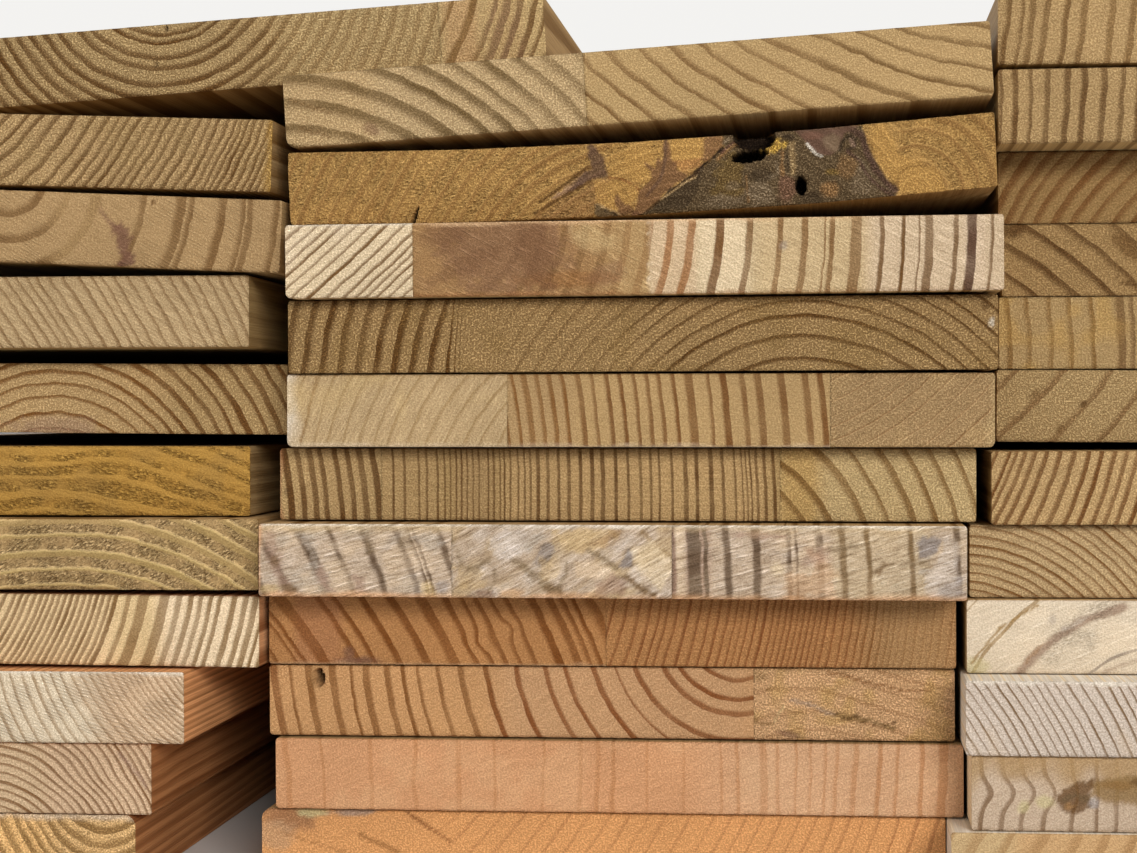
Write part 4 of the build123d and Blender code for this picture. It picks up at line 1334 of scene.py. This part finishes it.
# Crests of torn fibres are painted lighter and their pits darker: painted highlight and painted shade of
# their relief
crest_highlight_tone, pit_shade_tone = 0.34, 0.3        # of torn fibres
grain_tone, grain_height = 0.1, 0.12    # of the long grain on the faces
green_warmth, blue_warmth = 1.12, 1.3   # dark marks turn a little warmer
tooth_turns = 7.4                       # of the sine of the tooth marks, to a millimetre
bump_distance = 0.00035                 # metres of bump to one unit of height


def sawn_wood(name):
    """The material of all boards, which reads the attributes of each piece."""
    n = Nodes(name)
    x, y, z = n.parts(n.attribute("spot", "Vector"))
    grain, torn, teeth = n.parts(n.attribute("finish", "Vector"))
    scrape, ridge, end = n.parts(n.attribute("relief", "Vector"))
    drawn_out = n.join(x, y, n.times(z, 0.03))
    unsteady = n.minus(n.noise(drawn_out, 0.17), 0.5)
    wood, band, ridge_highlight = rings(n, unsteady, ridge)
    # Cut fibres: fine speckle on the ends, long streaks on the faces; the speckle's tone is partly the
    # fibres' own colour and partly painted shading of their relief
    fibres = n.noise(n.join(x, y, n.times(z, 0.012)), 2.1, 0.55)
    fine = n.ramp(fibres, 0.4, 0.6, -1.0, 1.0, smooth=False)
    speckle = n.times(fine, grain)
    rugged, crests, pits = torn_fibres(n, unsteady, torn, band)
    scratch, scratches, tooth_marks = saw_marks(n, unsteady, fine, scrape, teeth)
    # Painted highlight on the crests and painted shade in the pits of the torn fibres
    torn_painted_shading = n.minus(n.times(crests, crest_highlight_tone),
                       n.times(pits, pit_shade_tone))
    torn_height = n.minus(crests, pits)
    tone = total(n, (speckle, speckle_and_shading_tone), (scratch, scratch_tone), (tooth_marks, teeth_tone),
                 (n.times(rugged, torn_painted_shading), 1.0), (scratches, scrape_tone),
                 (ridge_highlight, ridge_highlight_tone))
    height = total(n, (speckle, speckle_height), (scratch, scratch_height), (tooth_marks, teeth_height),
                   (scratches, scrape_height), (ridge_highlight, ridge_height),
                   (n.times(rugged, torn_height), 1.0))
    face_grain = n.times(fine, n.minus(1.0, end))
    tone = total(n, (n.times(tone, end), 1.0), (face_grain, grain_tone))
    height = total(n, (n.times(height, end), 1.0), (face_grain, grain_height))
    tone = n.math("MAXIMUM", n.plus(tone, 1.0), 0.12)
    warm = n.join(tone, n.math("POWER", tone, green_warmth), n.math("POWER", tone, blue_warmth))
    wood = n.new("ShaderNodeVectorMath", {0: wood, 1: warm}, operation="MULTIPLY").outputs[0]
    bump = n.new("ShaderNodeBump", {"Height": height, "Distance": bump_distance, "Strength": 1.0})
    shader = n.new("ShaderNodeBsdfPrincipled",
                   {"Base Color": wood, "Roughness": 0.7, "Specular IOR Level": 0.1,
                                                "Normal": bump.outputs[0]})
    n.new("ShaderNodeOutputMaterial", {"Surface": shader.outputs[0]})
    return n.material


def rings(n, unsteady, ridge):
    """The wood's colour, its dark bands and the pale line at their ends, a painted highlight on the raised
    latewood's edge.

    Each ring darkens gradually and ends at a crisp line.
    """
    share, soft, contrast = n.parts(n.attribute("band", "Vector"))
    crisp, wander, _ = n.parts(n.attribute("line", "Vector"))
    wandering = n.times(n.times(unsteady, wander), 2.4)
    ring = n.plus(n.attribute("ring", "Fac"), wandering)
    f = n.math("FRACT", ring)
    late_from = n.minus(1.0, share)
    early_to = n.minus(late_from, soft)
    ending = n.minus(1.0, n.math("MINIMUM", crisp, 0.3))
    band = n.times(n.ramp(f, early_to, late_from), n.ramp(f, ending, 1.0, 1.0, 0.0))
    which = n.new("ShaderNodeTexWhiteNoise", {"W": n.math("FLOOR", ring)}, noise_dimensions="1D")
    strength = n.ramp(which.outputs["Value"], 0.0, 1.0, 0.85, 1.12, smooth=False)
    amount = n.math("MINIMUM", n.times(n.times(band, strength), contrast), 1.0)
    wood = n.mix(amount, n.attribute("early", "Color"), n.attribute("late", "Color"))
    # Painted highlight: a pale line just before each ring ends
    ridge_from = n.minus(1.0, n.times(crisp, 1.8))
    ridge_highlight = n.times(n.ramp(f, ridge_from, n.plus(ridge_from, crisp)), ridge)
    return wood, band, ridge_highlight


def torn_fibres(n, unsteady, torn, band):
    """Torn fibres between the dark bands: pits and crests along the saw's direction, in groups, used for
    height and for painted shade in the pits and painted highlight on the crests.
    """
    saw_across, saw_along, _ = n.parts(n.attribute("saw", "Vector"))
    rugged = n.times(torn, n.minus(1.0, n.times(band, 0.9)))
    rugged = n.times(rugged, n.ramp(unsteady, -0.12, 0.1, 0.25, 1.0))
    clods = n.noise(n.join(n.times(saw_across, 2.0), n.times(saw_along, 0.7), 0.0), 1.0, 0.65)
    return rugged, n.ramp(clods, 0.5, 0.39), n.ramp(clods, 0.52, 0.62)


def saw_marks(n, unsteady, fine, scrape, teeth):
    """Soft scratches, thin pale scratches and even tooth marks."""
    saw_across, saw_along, amount = n.parts(n.attribute("saw", "Vector"))
    slanting = n.noise(n.join(saw_across, n.times(saw_along, 0.1), 0.0), 1.5, 0.6)
    scratch = n.times(n.minus(slanting, 0.5), amount)
    scratches = n.times(n.ramp(slanting, 0.54, 0.68), scrape)
    phase = n.plus(n.times(saw_across, tooth_turns), n.times(unsteady, 14.0))
    bite = n.times(n.math("SINE", phase), n.ramp(fine, -0.6, 0.8, 0.3, 1.2))
    return scratch, scratches, n.times(bite, teeth)


def total(n, *parts):
    """The sum of values, each times its factor."""
    out = 0.0
    for value, factor in parts:
        out = n.math("MULTIPLY_ADD", value, factor, out)
    return out


def plain(name, colour, roughness):
    """A material of one colour."""
    n = Nodes(name)
    shader = n.new("ShaderNodeBsdfPrincipled", {"Base Color": colour, "Roughness": roughness})
    n.new("ShaderNodeOutputMaterial", {"Surface": shader.outputs[0]})
    return n.material


# The stack
def build_boards():
    """One piece of wood for each node, shaped by the sections of its whole board."""
    groups = {}
    board_name_ends = len("board_00")
    for name in sorted(frame["nodes"]):
        groups.setdefault(name[:name.index("board_") + board_name_ends], []).append(name)
    material = sawn_wood("sawn_wood")
    seed = 1
    for board_name in sorted(groups):
        board = Board(groups[board_name])
        for name in groups[board_name]:
            wood = WOOD[name]
            mesh = dress(name, board, Outline(board, name), wood, seed)
            mesh.materials.append(material)
            piece = bpy.data.objects.new(name + "_piece", mesh)
            bpy.context.scene.collection.objects.link(piece)
            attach(piece, "root")
            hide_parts(name)
            cad = frame["nodes"][name].data
            cad.materials.clear()
            cad.materials.append(material)
            seed += 1


# Floor, light and camera
floor_size = 30.0
floor_tone = (0.74, 0.73, 0.71, 1.0)
floor_roughness = 0.7

# Lamps: place, what each points at, size, watts and colour, in metres
daylight = (1.0, 0.98, 0.95)
pale_light = (1.0, 0.99, 0.98)
front_ends = (0.0, -0.93, 0.1)
LAMPS = {
    "key": ((1.5, -4.87, 1.4), front_ends, (1.8, 1.0), 152.0, daylight),
    "top": ((0.2, -1.5, 2.2), front_ends, (0.8, 0.6), 10.2, daylight),
    "fill": ((-2.6, -4.7, 1.1), (0.0, -0.9, 0.1), (3.2, 2.0), 33.0, pale_light),
    "rear": ((-2.0, 4.4, 2.6), (0.0, 0.5, 0.1), (3.0, 1.6), 110.0, pale_light),
}
background = (0.90, 0.89, 0.87, 1.0)
ambient = 0.36

# The camera, in millimetres and degrees, from the middle column's left edge and front plane
camera_from_left_edge = 140.2
camera_in_front = 624.5
camera_height = 128.0
camera_yaw = 6.152
camera_pitch = 0.478
camera_roll = 0.289
camera_lens = 74.41
sensor_width = 36.0
clip_near, clip_far = 0.01, 100.0    # in metres


def stage():
    bpy.ops.mesh.primitive_plane_add(size=floor_size, location=(0, 0, 0))
    floor = bpy.context.object
    floor.name = "floor"
    floor.data.materials.append(plain("pale_floor", floor_tone, floor_roughness))


def area_lamp(name, place, target, size, watts, colour):
    lamp = bpy.data.lights.new(name, "AREA")
    lamp.shape = "RECTANGLE"
    lamp.size, lamp.size_y = size
    lamp.energy = watts
    lamp.color = colour
    o = bpy.data.objects.new(name, lamp)
    bpy.context.scene.collection.objects.link(o)
    o.location = place
    o.rotation_euler = (Vector(target) - Vector(place)).to_track_quat("-Z", "Y").to_euler()


def world():
    """A pale background for the camera and a softer even light for everything else."""
    w = bpy.data.worlds.new("pale_world")
    bpy.context.scene.world = w
    w.use_nodes = True
    t = w.node_tree
    t.nodes.clear()
    path = t.nodes.new("ShaderNodeLightPath")
    seen, lit = t.nodes.new("ShaderNodeBackground"), t.nodes.new("ShaderNodeBackground")
    seen.inputs[0].default_value = background
    lit.inputs[0].default_value = (*daylight, 1.0)
    lit.inputs[1].default_value = ambient
    mix = t.nodes.new("ShaderNodeMixShader")
    t.links.new(path.outputs["Is Camera Ray"], mix.inputs[0])
    t.links.new(lit.outputs[0], mix.inputs[1])
    t.links.new(seen.outputs[0], mix.inputs[2])
    out = t.nodes.new("ShaderNodeOutputWorld")
    t.links.new(mix.outputs[0], out.inputs[0])


def camera():
    """A camera close in front of the ends, a little right of the middle column's left edge."""
    left_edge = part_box("middle_board_05_left_stave")[0].x
    front_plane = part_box("middle_board_08_left_stave")[0].y
    place = Vector((left_edge + camera_from_left_edge * MM, front_plane - camera_in_front * MM,
                    camera_height * MM))
    yaw, pitch, roll = map(math.radians, (camera_yaw, camera_pitch, camera_roll))
    forward = Vector((-math.sin(yaw) * math.cos(pitch), math.cos(yaw) * math.cos(pitch), -math.sin(pitch)))
    right = Vector((math.cos(yaw), math.sin(yaw), 0.0))
    down = forward.cross(right)
    right_rolled = math.cos(roll) * right + math.sin(roll) * down
    down_rolled = -math.sin(roll) * right + math.cos(roll) * down
    data = bpy.data.cameras.new("camera")
    data.sensor_width = sensor_width
    data.lens = camera_lens
    data.clip_start = clip_near
    data.clip_end = clip_far
    o = bpy.data.objects.new("camera", data)
    bpy.context.scene.collection.objects.link(o)
    axes = Matrix((right_rolled, -down_rolled, -forward)).transposed().to_4x4()
    o.matrix_world = Matrix.Translation(place) @ axes
    bpy.context.scene.camera = o


build_boards()
stage()
world()
for lamp_name, settings in LAMPS.items():
    area_lamp(lamp_name, *settings)
camera()
bpy.context.scene.view_settings.view_transform = "Standard"
